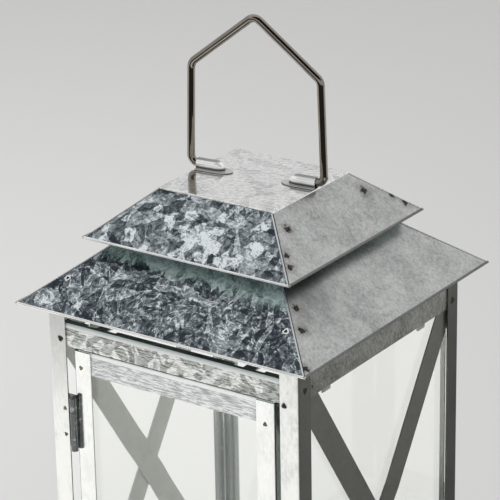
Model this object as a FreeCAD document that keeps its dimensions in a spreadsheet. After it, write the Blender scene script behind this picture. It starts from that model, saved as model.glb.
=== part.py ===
import FreeCAD, Part
import math
import os
import Sketcher

# Candle lantern in galvanised sheet: a glazed square frame on a floor pan, a hinged door at the
# front (towards -Y), crossed straps on the two sides, a two-tier hipped roof with a vent gap
# between the tiers, and a wire handle that swings in two lugs on the top plate.
# The origin is at the middle of the footprint, on the surface the lantern stands on.

# Driving sizes: millimetres, pitches as rise over run, angles in degrees.
SIZES = {
    # square frame
    "body_width": 183,
    "frame_sheet": 1.0,
    "post_flange": 13,
    "bend_radius": 2.0,
    "window_height": 240,
    # floor pan
    "base_height": 12,
    "base_overhang": 4,
    "base_lip": 6,
    "base_corner": 5,
    "candle_ring_radius": 45,
    "candle_ring_width": 6,
    "candle_ring_height": 1.5,
    # rails between the posts, with their glass tongues
    "rail_height": 14.8,
    "rail_flange": 6.1,
    "rail_drop": 11,
    "rail_end_gap": 0.2,
    "header_drop": 1.6,
    "header_notch": 3.9,
    "tongue_inset": 34.3,
    "tongue_width": 8.4,
    "tongue_reach": 25,
    "tongue_tail": 5.5,
    "notch_width": 21.5,
    # crossed straps
    "strap_width": 17.2,
    "strap_sheet": 0.8,
    "strap_overlap": 4,
    "joggle_flat": 15,
    "joggle_ramp": 14,
    # panes
    "glass_sheet": 2.0,
    "glass_play": 0.1,
    "glass_stand": 0.3,
    "glass_edge": 7.5,
    "glass_head": 0.8,
    # roof
    "roof_sheet": 0.8,
    "eave_overhang": 13.5,
    "lower_pitch": 0.777,
    "lower_rim_width": 92,
    "lower_hip_flange": 14,
    "upper_eave_width": 150,
    "vent_gap": 15.59,
    "upper_hip_flange": 9,
    "hip_reveal": 0.6,
    "hem_height": 3.6,
    "hem_mitre": 2.5,
    "top_plate_width": 83.2,
    "upper_roof_rise": 28.8,
    "top_plate_sheet": 1.0,
    "bracket_width": 16,
    "bracket_sheet": 1.0,
    "bracket_foot": 6.5,
    "bracket_head": 8.5,
    # wire handle and its lugs
    "wire_diameter": 5,
    "lug_skew": 5.5,
    "lug_offset": 3.4,
    "lug_sheet": 0.8,
    "lug_clearance": 0.08,
    "lug_floor_gap": 0.9,
    "lug_setback": 0.6,
    "lug_tunnel": 12.5,
    "lug_dome": 6.3,
    "lug_foot": 2.0,
    "lug_tip": 11.5,
    "leg_gap": 2.1,
    "leg_splay": 2.0,
    "handle_foot_length": 17,
    "handle_foot_bend": 4.6,
    "handle_shoulder_height": 64,
    "handle_shoulder_bend": 7,
    "handle_peak_height": 98.7,
    "handle_peak_bend": 6,
    # door
    "hinge_side_gap": 5.9,
    "latch_side_gap": 4.1,
    "door_gap": 1.2,
    "stile_width": 12.6,
    "stile_depth": 8,
    "door_rail_height": 14.7,
    "door_rail_flange": 7.6,
    "door_tongue_inset": 44,
    "door_tongue_tail": 2,
    # hinges
    "hinge_height": 35.5,
    "hinge_inset": 30.8,
    "hinge_leaf": 0.8,
    "hinge_overlap": 0.3,
    "knuckle_proud": 0.85,
    "hinge_wing": 8,
    "hinge_leaf_depth": 11,
    "knuckle_diameter": 4.3,
    "knuckle_end": 9.2,
    "knuckle_gap": 0.3,
    "pin_diameter": 2.3,
    "pin_clearance": 0.05,
    "pin_head_diameter": 3.5,
    "pin_head_height": 0.9,
    # turn latch, knob and stop
    "latch_width": 7,
    "latch_length": 24,
    "latch_sheet": 1.2,
    "latch_tab": 5,
    "latch_corner": 2.8,
    "washer_sheet": 0.5,
    "washer_diameter": 8,
    "rivet_diameter": 3,
    "rivet_clearance": 0.08,
    "rivet_head_diameter": 6.4,
    "rivet_head_height": 1.6,
    "rivet_head_rim": 0.5,
    "rivet_tail_diameter": 4.6,
    "rivet_tail_height": 0.9,
    "knob_diameter": 10,
    "knob_neck_diameter": 5,
    "knob_neck_height": 3,
    "knob_head_height": 5,
    "knob_rim": 1.7,
    "knob_drop": 32,
    "stop_height": 12,
    "stop_drop": 24,
    "stop_reach": 7,
    "stop_foot": 8,
    "stop_play": 0.3,
}

FULL_TURN = 360
TOUCH = 1e-4
RUN_PAST = 1
DOME_SHARES = (0.3, 0.55, 0.75, 0.9, 0.98)
TIP_STEPS = 12
SIDES = {"front": 0, "right": 90, "back": 180, "left": 270}
POSTS = {
    "front_left": (-1, -1, 0),
    "front_right": (1, -1, 90),
    "back_right": (1, 1, 180),
    "back_left": (-1, 1, 270),
}


class Size:
    """A number together with the sheet expression that gives it."""

    def __init__(self, value, text=None):
        self.value = float(value)
        self.text = text or f"({float(value)!r})"

    def __add__(self, other):
        other = as_size(other)
        return Size(self.value + other.value, f"({self.text} + {other.text})")

    def __sub__(self, other):
        other = as_size(other)
        return Size(self.value - other.value, f"({self.text} - {other.text})")

    def __mul__(self, other):
        other = as_size(other)
        return Size(self.value * other.value, f"({self.text} * {other.text})")

    def __truediv__(self, other):
        other = as_size(other)
        return Size(self.value / other.value, f"({self.text} / {other.text})")

    def __radd__(self, other):
        return as_size(other) + self

    def __rsub__(self, other):
        return as_size(other) - self

    def __rmul__(self, other):
        return as_size(other) * self

    def __neg__(self):
        return Size(-self.value, f"(-1 * {self.text})")

    def root(self):
        """Square root."""
        return Size(math.sqrt(self.value), f"sqrt({self.text})")

    def arctangent(self):
        """Angle in degrees whose tangent this is."""
        return Size(math.degrees(math.atan(self.value)), f"atan({self.text})")


def as_size(amount):
    """Wrap a plain number, and pass a Size through."""
    return amount if isinstance(amount, Size) else Size(amount)


doc = FreeCAD.newDocument("candle_lantern")
sheet = doc.addObject("Spreadsheet::Sheet", "Sizes")
for row, (alias, number) in enumerate(SIZES.items(), start=1):
    sheet.set(f"A{row}", alias)
    sheet.set(f"B{row}", str(number))
    sheet.setAlias(f"B{row}", alias)
doc.recompute()

SUBPARTS = []


def size(alias):
    """A driving size of the sheet."""
    return Size(SIZES[alias], f"Sizes.{alias}")


def bind(item, prop, amount):
    """Tie a property to the sheet."""
    item.setExpression(prop, as_size(amount).text)


def turn(axis, angle):
    """Rotation about X, Y or Z by a plain angle in degrees."""
    vectors = {"x": (1, 0, 0), "y": (0, 1, 0), "z": (0, 0, 1)}
    return FreeCAD.Rotation(FreeCAD.Vector(*vectors[axis]), angle)


def place(item, x=0, y=0, z=0, rotation=None, angle=None):
    """Seat an object; position and angle follow the sheet."""
    spot = [as_size(amount) for amount in (x, y, z)]
    base = FreeCAD.Vector(*(amount.value for amount in spot))
    item.Placement = FreeCAD.Placement(base, rotation or FreeCAD.Rotation())
    for name, amount in zip("xyz", spot):
        bind(item, f"Placement.Base.{name}", amount)
    if angle is not None:
        bind(item, "Placement.Rotation.Angle", angle)
    return item


def keep(item, label):
    """Name a finished sub-part and put it on the list to write."""
    item.Label = label
    SUBPARTS.append(item)
    return item


def middle_of_side(angle, distance):
    """Plan position of the middle of the side at an angle, a distance out from the centre."""
    return {0: (0, -distance), 90: (distance, 0), 180: (0, distance), 270: (-distance, 0)}[angle]


# Sketch and feature helpers

def new_body(name):
    return doc.addObject("PartDesign::Body", name)


def origin_plane(body, plane):
    """Plane XY, XZ or YZ of a body's own origin."""
    return next(item for item in body.Origin.OriginFeatures if item.Role == f"{plane}_Plane")


def new_sketch(body, plane, lift=0):
    """Empty sketch on an origin plane of its body, raised along the plane's normal."""
    sketch = body.newObject("Sketcher::SketchObject", "Sketch")
    sketch.AttachmentSupport = [(origin_plane(body, plane), "")]
    sketch.MapMode = "FlatFace"
    bind(sketch, "AttachmentOffset.Base.z", lift)
    return sketch


def dimension(sketch, kind, *where):
    """Add one dimension, the last argument, and tie it to the sheet."""
    amount = as_size(where[-1])
    index = sketch.addConstraint(Sketcher.Constraint(kind, *where[:-1], amount.value))
    bind(sketch, f"Constraints[{index}]", amount)


def pin_point(sketch, geometry, position, u, v):
    """Fix a point of a sketch by its two distances from the sketch's origin."""
    dimension(sketch, "DistanceX", -1, 1, geometry, position, u)
    dimension(sketch, "DistanceY", -1, 1, geometry, position, v)


def polygons(body, plane, *loops, lift=0):
    """Sketch of closed straight-sided loops, each a list of corners."""
    sketch = new_sketch(body, plane, lift)
    for loop in loops:
        corners = [(as_size(u), as_size(v)) for u, v in loop]
        points = [FreeCAD.Vector(u.value, v.value, 0) for u, v in corners]
        first = sketch.GeometryCount
        count = len(points)
        for index in range(count):
            sketch.addGeometry(Part.LineSegment(points[index], points[(index + 1) % count]))
        for index in range(count):
            following = first + (index + 1) % count
            sketch.addConstraint(Sketcher.Constraint("Coincident", first + index, 2, following, 1))
        for index, (u, v) in enumerate(corners):
            pin_point(sketch, first + index, 1, u, v)
    return sketch


def rectangle(u0, v0, u1, v1):
    """Corner list of an upright rectangle."""
    return [(u0, v0), (u1, v0), (u1, v1), (u0, v1)]


def circles(body, plane, *discs, lift=0):
    """Sketch of circles, each a radius with a centre."""
    sketch = new_sketch(body, plane, lift)
    for radius, u, v in discs:
        radius, u, v = as_size(radius), as_size(u), as_size(v)
        centre = FreeCAD.Vector(u.value, v.value, 0)
        index = sketch.addGeometry(Part.Circle(centre, FreeCAD.Vector(0, 0, 1), radius.value))
        dimension(sketch, "Radius", index, radius)
        pin_point(sketch, index, 3, u, v)
    return sketch


def pad(body, sketch, length, symmetric=False, down=False):
    feature = body.newObject("PartDesign::Pad", "Pad")
    feature.Profile = sketch
    feature.SideType = "Symmetric" if symmetric else "One side"
    feature.Reversed = down
    bind(feature, "Length", length)
    doc.recompute()
    return feature


def pocket(body, sketch, depth, up=False):
    """Cut against the sketch's normal, or along it, and make sure that something came away."""
    before = body.Shape.Volume
    feature = body.newObject("PartDesign::Pocket", "Pocket")
    feature.Profile = sketch
    feature.Reversed = up
    bind(feature, "Length", depth)
    doc.recompute()
    if body.Shape.Volume >= before - TOUCH:
        raise ValueError(f"a cut in {body.Name} removes nothing")
    return feature


def revolve(body, sketch, axis):
    feature = body.newObject("PartDesign::Revolution", "Revolution")
    feature.Profile = sketch
    feature.ReferenceAxis = (sketch, [axis])
    feature.Angle = FULL_TURN
    doc.recompute()
    return feature


def round_edges(body, radius, *tests):
    """Round the straight edges that any of the tests picks out."""
    base = body.Tip
    names = []
    for index, edge in enumerate(base.Shape.Edges, start=1):
        if any(test(edge) for test in tests):
            names.append(f"Edge{index}")
    fillet = body.newObject("PartDesign::Fillet", "Fillet")
    fillet.Base = (base, names)
    bind(fillet, "Radius", radius)
    doc.recompute()
    return fillet


def on_line(**spot):
    """Test for edges whose ends share the given coordinates."""
    goal = {name: as_size(amount).value for name, amount in spot.items()}

    def test(edge):
        ends = [vertex.Point for vertex in edge.Vertexes]
        return all(abs(getattr(end, name) - goal[name]) < TOUCH for end in ends for name in goal)

    return test


def boolean(kind, base, tool):
    item = doc.addObject(f"Part::{kind}", kind)
    item.Base = base
    item.Tool = tool
    item.Refine = True
    return item


# Sizes that several pieces share

half_body = size("body_width") / 2
sheet_gauge = size("frame_sheet")
behind_post = half_body - sheet_gauge
behind_rail = behind_post - sheet_gauge
window_edge = half_body - size("post_flange")
inner_bend = size("bend_radius") - sheet_gauge
rail_height = size("rail_height")
base_height = size("base_height")
window_low = base_height + rail_height
window_high = window_low + size("window_height")
rail_top = window_high + rail_height
eave_level = rail_top + size("rail_drop")
header_top = rail_top - size("header_drop")

glass_front = behind_rail - 2 * size("strap_sheet") - size("glass_stand")
glass_back = glass_front - size("glass_sheet")
tongue_front = behind_post - glass_back + size("glass_play")

lower_half = half_body + size("eave_overhang")
lower_pitch = size("lower_pitch")
lower_top = eave_level + (lower_half - size("lower_rim_width") / 2) * lower_pitch
upper_half = size("upper_eave_width") / 2
upper_level = eave_level + (lower_half - upper_half) * lower_pitch + size("vent_gap")
plate_half = size("top_plate_width") / 2
plate_top = upper_level + size("upper_roof_rise")
plate_low = plate_top - size("top_plate_sheet")
upper_pitch = (plate_low - upper_level) / (upper_half - plate_half)

door_left = -window_edge + size("hinge_side_gap")
door_right = window_edge - size("latch_side_gap")
door_low = window_low + size("door_gap")
door_high = header_top - rail_height - size("door_gap")
door_middle = (door_low + door_high) / 2
door_face = -half_body

wire_radius = size("wire_diameter") / 2
wire_level = wire_radius + size("lug_floor_gap")
rivet_radius = size("rivet_diameter") / 2
rivet_bore = rivet_radius + size("rivet_clearance")
latch_x = half_body - size("post_flange") / 2
knob_x = door_right - size("stile_width") / 2
knob_z = door_middle - size("knob_drop")


# Floor pan

def build_base_pan():
    body = new_body("base_pan")
    half = half_body + size("base_overhang")
    corner = size("base_corner")
    pad(body, polygons(body, "XY", rectangle(-half, -half, half, half)), base_height)
    uprights = [on_line(x=sx * half, y=sy * half) for sx in (-1, 1) for sy in (-1, 1)]
    round_edges(body, corner, *uprights)
    round_edges(body, size("bend_radius"), on_line(z=base_height))
    inner = half - sheet_gauge
    hollow = polygons(body, "XY", rectangle(-inner, -inner, inner, inner), lift=sheet_gauge)
    pocket(body, hollow, base_height - 2 * sheet_gauge, up=True)
    mouth = half - size("base_lip")
    pocket(body, polygons(body, "XY", rectangle(-mouth, -mouth, mouth, mouth)), sheet_gauge, up=True)
    inside = size("candle_ring_radius") - size("candle_ring_width") / 2
    outside = size("candle_ring_radius") + size("candle_ring_width") / 2
    crest = base_height + size("candle_ring_height")
    slope = size("candle_ring_height")
    ring = [
        (inside, base_height),
        (outside, base_height),
        (outside - slope, crest),
        (inside + slope, crest),
    ]
    revolve(body, polygons(body, "XZ", ring), "V_Axis")
    keep(body, "base_pan")


# Angles: corner posts and door stiles

def angle_outline(first, second):
    """Corners of an L of frame sheet: one leg along the first axis, the other along the second."""
    gauge_1 = sheet_gauge if first.value > 0 else -sheet_gauge
    gauge_2 = sheet_gauge if second.value > 0 else -sheet_gauge
    return [(0, 0), (first, 0), (first, gauge_2), (gauge_1, gauge_2), (gauge_1, second), (0, second)]


def angle_bar(name, x_leg, y_leg, height):
    """Upright L with its outer corner on the Z axis and its legs along +X and +Y."""
    body = new_body(name)
    pad(body, polygons(body, "XY", angle_outline(x_leg, y_leg)), height)
    round_edges(body, size("bend_radius"), on_line(x=0, y=0))
    round_edges(body, inner_bend, on_line(x=sheet_gauge, y=sheet_gauge))
    return body


def rivet_hole(radius, x, z, front, depth):
    """Cylinder along +Y that opens a hole for a rivet."""
    drill = doc.addObject("Part::Cylinder", "Drill")
    bind(drill, "Radius", radius)
    bind(drill, "Height", depth)
    return place(drill, x, front, z, turn("x", -90))


def build_posts():
    """Posts from the floor pan up to the underside of the lower tier."""
    flange = size("post_flange")
    under_roof = (lower.half - 2 * lower.run, lower.half - lower.run)
    for name, (x_side, y_side, angle) in POSTS.items():
        bar = angle_bar("angle", flange, flange, lower_top - base_height)
        place(bar, x_side * half_body, y_side * half_body, base_height, turn("z", angle))
        post = boolean("Common", bar, lower.frustum(*under_roof, base_height, lower_top))
        if name == "front_right":
            drill = rivet_hole(rivet_bore, latch_x, door_middle, -half_body, 2 * sheet_gauge)
            post = boolean("Cut", post, drill)
        keep(post, f"post_{name}")


# Rails with a flange and two glass tongues

def rail(name, length, height, flange, inset, root, tongue, tail=0):
    """Rail along X whose outer face is at Y = 0 and whose flange lies on Z = 0, pointing in to +Y.

    The flange has a notch near each end with its root at a set depth. A straight tongue runs on in
    the flange's plane from there; a bent one drops behind the glass, a tail past the rail's edge.
    """
    body = new_body(name)
    end = length / 2
    pad(body, polygons(body, "YZ", angle_outline(flange, -height)), length, symmetric=True)
    round_edges(body, size("bend_radius"), on_line(y=0, z=0))
    round_edges(body, inner_bend, on_line(y=sheet_gauge, z=-sheet_gauge))
    past = flange + RUN_PAST
    half_notch = size("notch_width") / 2
    half_tongue = size("tongue_width") / 2
    tip = size("tongue_reach") if tongue == "straight" else root + sheet_gauge
    trims = []
    tongues = []
    for side in (-1, 1):
        middle = side * (end - inset)
        trims.append(rectangle(side * (end - flange), size("bend_radius"), side * (end + RUN_PAST), past))
        trims.append(rectangle(middle - half_notch, root, middle + half_notch, past))
        tongues.append(rectangle(middle - half_tongue, root, middle + half_tongue, tip))
    pocket(body, polygons(body, "XY", *trims), 2 * sheet_gauge)
    if tongue != "none":
        drop = sheet_gauge if tongue == "straight" else height + tail
        pad(body, polygons(body, "XY", *tongues), drop, down=True)
    return body


def build_rails():
    length = 2 * (behind_post - size("bend_radius") - size("rail_end_gap"))
    inset = size("tongue_inset")
    tail = size("tongue_tail")
    flange = size("rail_flange")
    for side, angle in SIDES.items():
        x, y = middle_of_side(angle, behind_post)
        top = header_top if side == "front" else rail_top
        root = size("header_notch") if side == "front" else tongue_front
        tongue = "straight" if side == "front" else "bent"
        high = rail("rail", length, rail_height, flange, inset, root, tongue, tail)
        place(high, x, y, top, turn("z", angle))
        keep(high, "header_rail" if side == "front" else f"top_rail_{side}")
        tongue = "none" if side == "front" else "bent"
        low = rail("rail", length, rail_height, flange, inset, root, tongue, tail)
        place(low, x, y, base_height, turn("z", angle) * turn("y", 180))
        keep(low, "sill_rail" if side == "front" else f"bottom_rail_{side}")


# Crossed straps on the two sides

def strap(name, inward, joggled):
    """Flat strip along Z, outer face on X = 0; a joggled one steps in round the crossing."""
    body = new_body(name)
    rise = size("window_height") / 2
    end = (rise * rise + window_edge * window_edge).root() + size("strap_overlap")
    thick = size("strap_sheet") * inward
    if joggled:
        flat = size("joggle_flat")
        ramp = flat + size("joggle_ramp")
        outer = [(0, -end), (0, -ramp), (thick, -flat), (thick, flat), (0, ramp), (0, end)]
        inner = [(u + thick, v) for u, v in reversed(outer)]
        corners = outer + inner
    else:
        corners = rectangle(0, -end, thick, end)
    pad(body, polygons(body, "XZ", corners), size("strap_width"), symmetric=True)
    return body


def build_braces():
    tilt = (window_edge / (size("window_height") / 2)).arctangent()
    crossing = (window_low + window_high) / 2
    for side, inward in (("left", 1), ("right", -1)):
        for layer, joggled, lean in (("outer", False, -inward), ("inner", True, inward)):
            item = strap("strap", inward, joggled)
            axis = FreeCAD.Rotation(FreeCAD.Vector(lean, 0, 0), tilt.value)
            place(item, -inward * behind_rail, 0, crossing, axis, tilt)
            keep(item, f"brace_{side}_{layer}")


# Panes

def pane(label, x, y, z, width, depth, height):
    box = doc.addObject("Part::Box", "Pane")
    bind(box, "Length", width)
    bind(box, "Width", depth)
    bind(box, "Height", height)
    place(box, x, y, z)
    keep(box, label)


def build_panes():
    low = base_height + sheet_gauge
    height = rail_top - sheet_gauge - size("glass_head") - low
    edge = half_body - size("glass_edge")
    gauge = size("glass_sheet")
    pane("glass_left", -glass_front, -edge, low, gauge, 2 * edge, height)
    pane("glass_right", glass_back, -edge, low, gauge, 2 * edge, height)
    pane("glass_back", -edge, glass_back, low, 2 * edge, gauge, height)


# Roof

class Tier:
    """One hipped tier: front and back sheets fold over the hips and the side sheets lie on the folds."""

    def __init__(self, name, half, level, pitch, top, fold):
        self.name = name
        self.half = half
        self.level = level
        self.pitch = pitch
        self.top = top
        self.fold = fold
        self.run = size("roof_sheet") * (1 + pitch * pitch).root() / pitch

    def frustum(self, x_eave, y_eave, low, high):
        """Solid under planes at the tier's pitch, with its half widths given at eave level."""
        wedge = doc.addObject("Part::Wedge", "Frustum")
        bind(wedge, "Ymin", low)
        bind(wedge, "Ymax", high)
        for prefix, eave in (("X", x_eave), ("Z", y_eave)):
            for suffix, height in (("", low), ("2", high)):
                half = eave - (height - self.level) / self.pitch
                bind(wedge, f"{prefix}{suffix}min", -half)
                bind(wedge, f"{prefix}{suffix}max", half)
        wedge.Placement = FreeCAD.Placement(FreeCAD.Vector(), turn("x", 90))
        return wedge

    def sector(self, spread):
        """Upright wedge over the front quarter of the plan, widened past the hips by a spread."""
        wedge = doc.addObject("Part::Wedge", "Sector")
        far = self.half + RUN_PAST
        near = self.fold + 2 * size("hem_mitre")
        bind(wedge, "Ymin", -far)
        bind(wedge, "Ymax", -near)
        for suffix, reach in (("", far), ("2", near)):
            bind(wedge, f"X{suffix}min", -(reach + spread))
            bind(wedge, f"X{suffix}max", reach + spread)
            bind(wedge, f"Z{suffix}min", self.level - RUN_PAST)
            bind(wedge, f"Z{suffix}max", self.top + RUN_PAST)
        return wedge

    def layer(self, outer, inner, low, high, spread):
        """Part of the sheet between two frustums, cut to a sector of the plan."""
        shell = boolean("Cut", self.frustum(*outer, low, high), self.frustum(*inner, low, high))
        return boolean("Common", shell, self.sector(spread))

    def hem(self, spread):
        """Eave edge folded back under the sheet."""
        half, run = self.half, self.run
        outer = (half, half - run)
        inner = (half + run, half - 2 * run)
        return self.layer(outer, inner, self.level, self.level + size("hem_height"), spread)

    def folded_sheet(self):
        half, run = self.half, self.run
        outer = (half - run, half)
        inner = (half - 2 * run, half - run)
        plate = self.layer(outer, inner, self.level, self.top, self.fold)
        return boolean("Fuse", plate, self.hem(-size("hem_mitre")))

    def plain_sheet(self):
        half, run = self.half, self.run
        outer = (half, half)
        inner = (half + run, half - run)
        plate = self.layer(outer, inner, self.level, self.top, -size("hip_reveal"))
        return boolean("Fuse", plate, self.hem(-(self.fold + size("hem_mitre"))))

    def build(self):
        for side, angle in SIDES.items():
            panel = self.folded_sheet() if side in ("front", "back") else self.plain_sheet()
            panel.Placement = FreeCAD.Placement(FreeCAD.Vector(), turn("z", angle))
            keep(panel, f"{self.name}_{side}")


lower_fold, upper_fold = size("lower_hip_flange"), size("upper_hip_flange")
lower = Tier("lower_roof", lower_half, eave_level, lower_pitch, lower_top, lower_fold)
upper = Tier("upper_roof", upper_half, upper_level, upper_pitch, plate_low, upper_fold)


def build_roof_brackets():
    """Z-strips from the rim of the lower tier to the underside of the upper one."""
    gauge = size("bracket_sheet")
    near = size("lower_rim_width") / 2 + gauge / 2
    foot = near + size("bracket_foot")
    head = near + size("bracket_head")

    def below(reach):
        return lower.level + (lower.half - reach) * lower.pitch

    def above(reach):
        return upper.level + (upper.half - upper.run - reach) * upper.pitch

    low_gauge = gauge * (1 + lower.pitch * lower.pitch).root()
    high_gauge = gauge * (1 + upper.pitch * upper.pitch).root()
    web = near + gauge
    corners = [
        (-foot, below(foot)),
        (-near, below(near)),
        (-near, above(near)),
        (-head, above(head)),
        (-head, above(head) - high_gauge),
        (-web, above(web) - high_gauge),
        (-web, below(web) + low_gauge),
        (-foot, below(foot) + low_gauge),
    ]
    for side, angle in SIDES.items():
        body = new_body("bracket")
        pad(body, polygons(body, "YZ", corners), size("bracket_width"), symmetric=True)
        place(body, rotation=turn("z", angle))
        keep(body, f"roof_bracket_{side}")


def build_top_plate():
    body = new_body("top_plate")
    gauge = size("top_plate_sheet")
    outline = rectangle(-plate_half, -plate_half, plate_half, plate_half)
    pad(body, polygons(body, "XY", outline), gauge)
    round_edges(body, gauge / 2, on_line(z=gauge))
    place(body, z=plate_low)
    keep(body, "top_plate")


# Handle

def arch(body, radius, height, lift):
    """Half-round outline on two straight legs, standing on the plate across the lug's axis."""
    sketch = new_sketch(body, "YZ", lift)
    r, h = as_size(radius).value, as_size(height).value
    up = FreeCAD.Vector(0, 0, 1)
    crown = Part.ArcOfCircle(Part.Circle(FreeCAD.Vector(0, h, 0), up, r), 0, math.pi)
    ends = [FreeCAD.Vector(u, v, 0) for u, v in ((-r, h), (-r, 0), (r, 0), (r, h))]
    sketch.addGeometry(crown)
    for start, end in zip(ends, ends[1:]):
        sketch.addGeometry(Part.LineSegment(start, end))
    for first, second in ((0, 1), (1, 2), (2, 3), (3, 0)):
        sketch.addConstraint(Sketcher.Constraint("Coincident", first, 2, second, 1))
    pin_point(sketch, 0, 3, 0, height)
    pin_point(sketch, 1, 1, -radius, height)
    pin_point(sketch, 2, 1, -radius, 0)
    pin_point(sketch, 3, 1, radius, 0)
    dimension(sketch, "DistanceY", -1, 1, 3, 2, height)
    return sketch


def leaf(start, end, half, reach):
    """Corner list of a lug's foot: square at the end, drawn out to a rounded tip past the start."""
    corners = [(end, -half), (end, half)]
    for step in range(TIP_STEPS + 1):
        angle = math.pi * step / TIP_STEPS
        corners.append((start - reach * math.sin(angle), half * math.cos(angle)))
    return corners


def build_lugs():
    inner = wire_radius + size("lug_clearance")
    outer = inner + size("lug_sheet")
    tunnel = size("lug_tunnel")
    start = plate_half - size("lug_setback") - tunnel
    for side, flip in (("right", 0), ("left", 180)):
        body = new_body("lug")
        pad(body, arch(body, outer, wire_level, start), tunnel)
        nose = body.newObject("PartDesign::AdditiveLoft", "Nose")
        nose.Profile = arch(body, outer, wire_level, start)
        sections = []
        for share in DOME_SHARES:
            shrink = math.sqrt(1 - share * share)
            sections.append(arch(body, outer * shrink, wire_level * shrink, start - size("lug_dome") * share))
        nose.Sections = sections
        doc.recompute()
        foot = leaf(start, start + tunnel, outer + size("lug_foot"), size("lug_tip"))
        pad(body, polygons(body, "XY", foot), size("lug_sheet"))
        pocket(body, arch(body, inner, wire_level, start + tunnel), tunnel)
        angle = size("lug_skew") + flip
        place(body, 0, size("lug_offset"), plate_top, turn("z", angle.value), angle)
        keep(body, f"handle_lug_{side}")


def bend_points(before, corner, after, radius):
    """Centre and ends of the arc that rounds a corner of a path."""
    to_before = (before - corner).normalize()
    to_after = (after - corner).normalize()
    half_angle = to_before.getAngle(to_after) / 2
    run = radius / math.tan(half_angle)
    middle = (to_before + to_after).normalize()
    centre = corner + middle * (radius / math.sin(half_angle))
    return centre, corner + to_before * run, corner + to_after * run


def arc_between(centre, start, end):
    """Clockwise arc as the sketch stores it, from the end round to the start."""
    radius = (start - centre).Length
    angles = [math.atan2(point.y - centre.y, point.x - centre.x) for point in (end, start)]
    circle = Part.Circle(centre, FreeCAD.Vector(0, 0, 1), radius)
    return Part.ArcOfCircle(circle, angles[0], angles[1])


leg_half = plate_half + size("leg_gap") + wire_radius
shoulder_half = leg_half - size("leg_splay")


def handle_path(body):
    """Half of the wire's centre line, from the peak down to the foot, with bends of a set radius."""
    sketch = new_sketch(body, "XZ")
    corners = [
        (as_size(0), size("handle_peak_height")),
        (shoulder_half, size("handle_shoulder_height")),
        (leg_half, as_size(0)),
        (leg_half - size("handle_foot_length"), as_size(0)),
    ]
    bends = [size("handle_peak_bend"), size("handle_shoulder_bend"), size("handle_foot_bend")]
    points = [FreeCAD.Vector(u.value, v.value, 0) for u, v in corners]
    opposite = FreeCAD.Vector(-points[1].x, points[1].y, 0)
    arcs = []
    for index, bend in enumerate(bends):
        before = points[index - 1] if index else opposite
        arcs.append(bend_points(before, points[index], points[index + 1], bend.value))
    guides = [sketch.addGeometry(Part.LineSegment(*pair), True) for pair in zip(points, points[1:])]
    for guide, (u, v) in zip(guides, corners):
        pin_point(sketch, guide, 1, u, v)
    pin_point(sketch, guides[-1], 2, *corners[-1])
    for first, second in zip(guides, guides[1:]):
        sketch.addConstraint(Sketcher.Constraint("Coincident", first, 2, second, 1))
    runs = []
    rounds = []
    for index, (centre, start, end) in enumerate(arcs):
        if index == 0:
            start = FreeCAD.Vector(0, centre.y + bends[0].value, 0)
        rounds.append(sketch.addGeometry(arc_between(centre, start, end)))
        stop = arcs[index + 1][1] if index + 1 < len(arcs) else points[-1]
        runs.append(sketch.addGeometry(Part.LineSegment(end, stop)))
    for index, bend in enumerate(bends):
        dimension(sketch, "Radius", rounds[index], bend)
        run, guide = runs[index], guides[index]
        sketch.addConstraint(Sketcher.Constraint("Tangent", rounds[index], 1, run, 1))
        sketch.addConstraint(Sketcher.Constraint("PointOnObject", run, 1, guide))
        if index:
            run, guide = runs[index - 1], guides[index - 1]
            sketch.addConstraint(Sketcher.Constraint("Tangent", run, 2, rounds[index], 2))
            sketch.addConstraint(Sketcher.Constraint("PointOnObject", run, 2, guide))
    sketch.addConstraint(Sketcher.Constraint("PointOnObject", rounds[0], 3, -2))
    sketch.addConstraint(Sketcher.Constraint("PointOnObject", rounds[0], 2, -2))
    sketch.addConstraint(Sketcher.Constraint("Coincident", runs[-1], 2, guides[-1], 2))
    return sketch


def build_handle():
    body = new_body("carry_handle")
    path = handle_path(body)
    doc.recompute()
    start = max(vertex.Point.z for vertex in path.Shape.Vertexes)
    rise = size("handle_peak_height") - size("handle_shoulder_height")
    slant = (rise * rise + shoulder_half * shoulder_half).root()
    crown = size("handle_peak_height") - size("handle_peak_bend") * (slant / shoulder_half - 1)
    if abs(crown.value - start) > TOUCH:
        raise ValueError("the wire's section misses its path")
    section = circles(body, "YZ", (wire_radius, 0, crown))
    pipe = body.newObject("PartDesign::AdditivePipe", "Wire")
    pipe.Profile = section
    pipe.Spine = (path, [f"Edge{index}" for index in range(1, len(path.Shape.Edges) + 1)])
    doc.recompute()
    mirror = body.newObject("PartDesign::Mirrored", "OtherHalf")
    mirror.Originals = [pipe]
    mirror.MirrorPlane = (origin_plane(body, "YZ"), [""])
    body.Tip = mirror
    doc.recompute()
    skew = size("lug_skew")
    place(body, 0, size("lug_offset"), plate_top + wire_level, turn("z", skew.value), skew)
    keep(body, "carry_handle")


# Door

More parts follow.
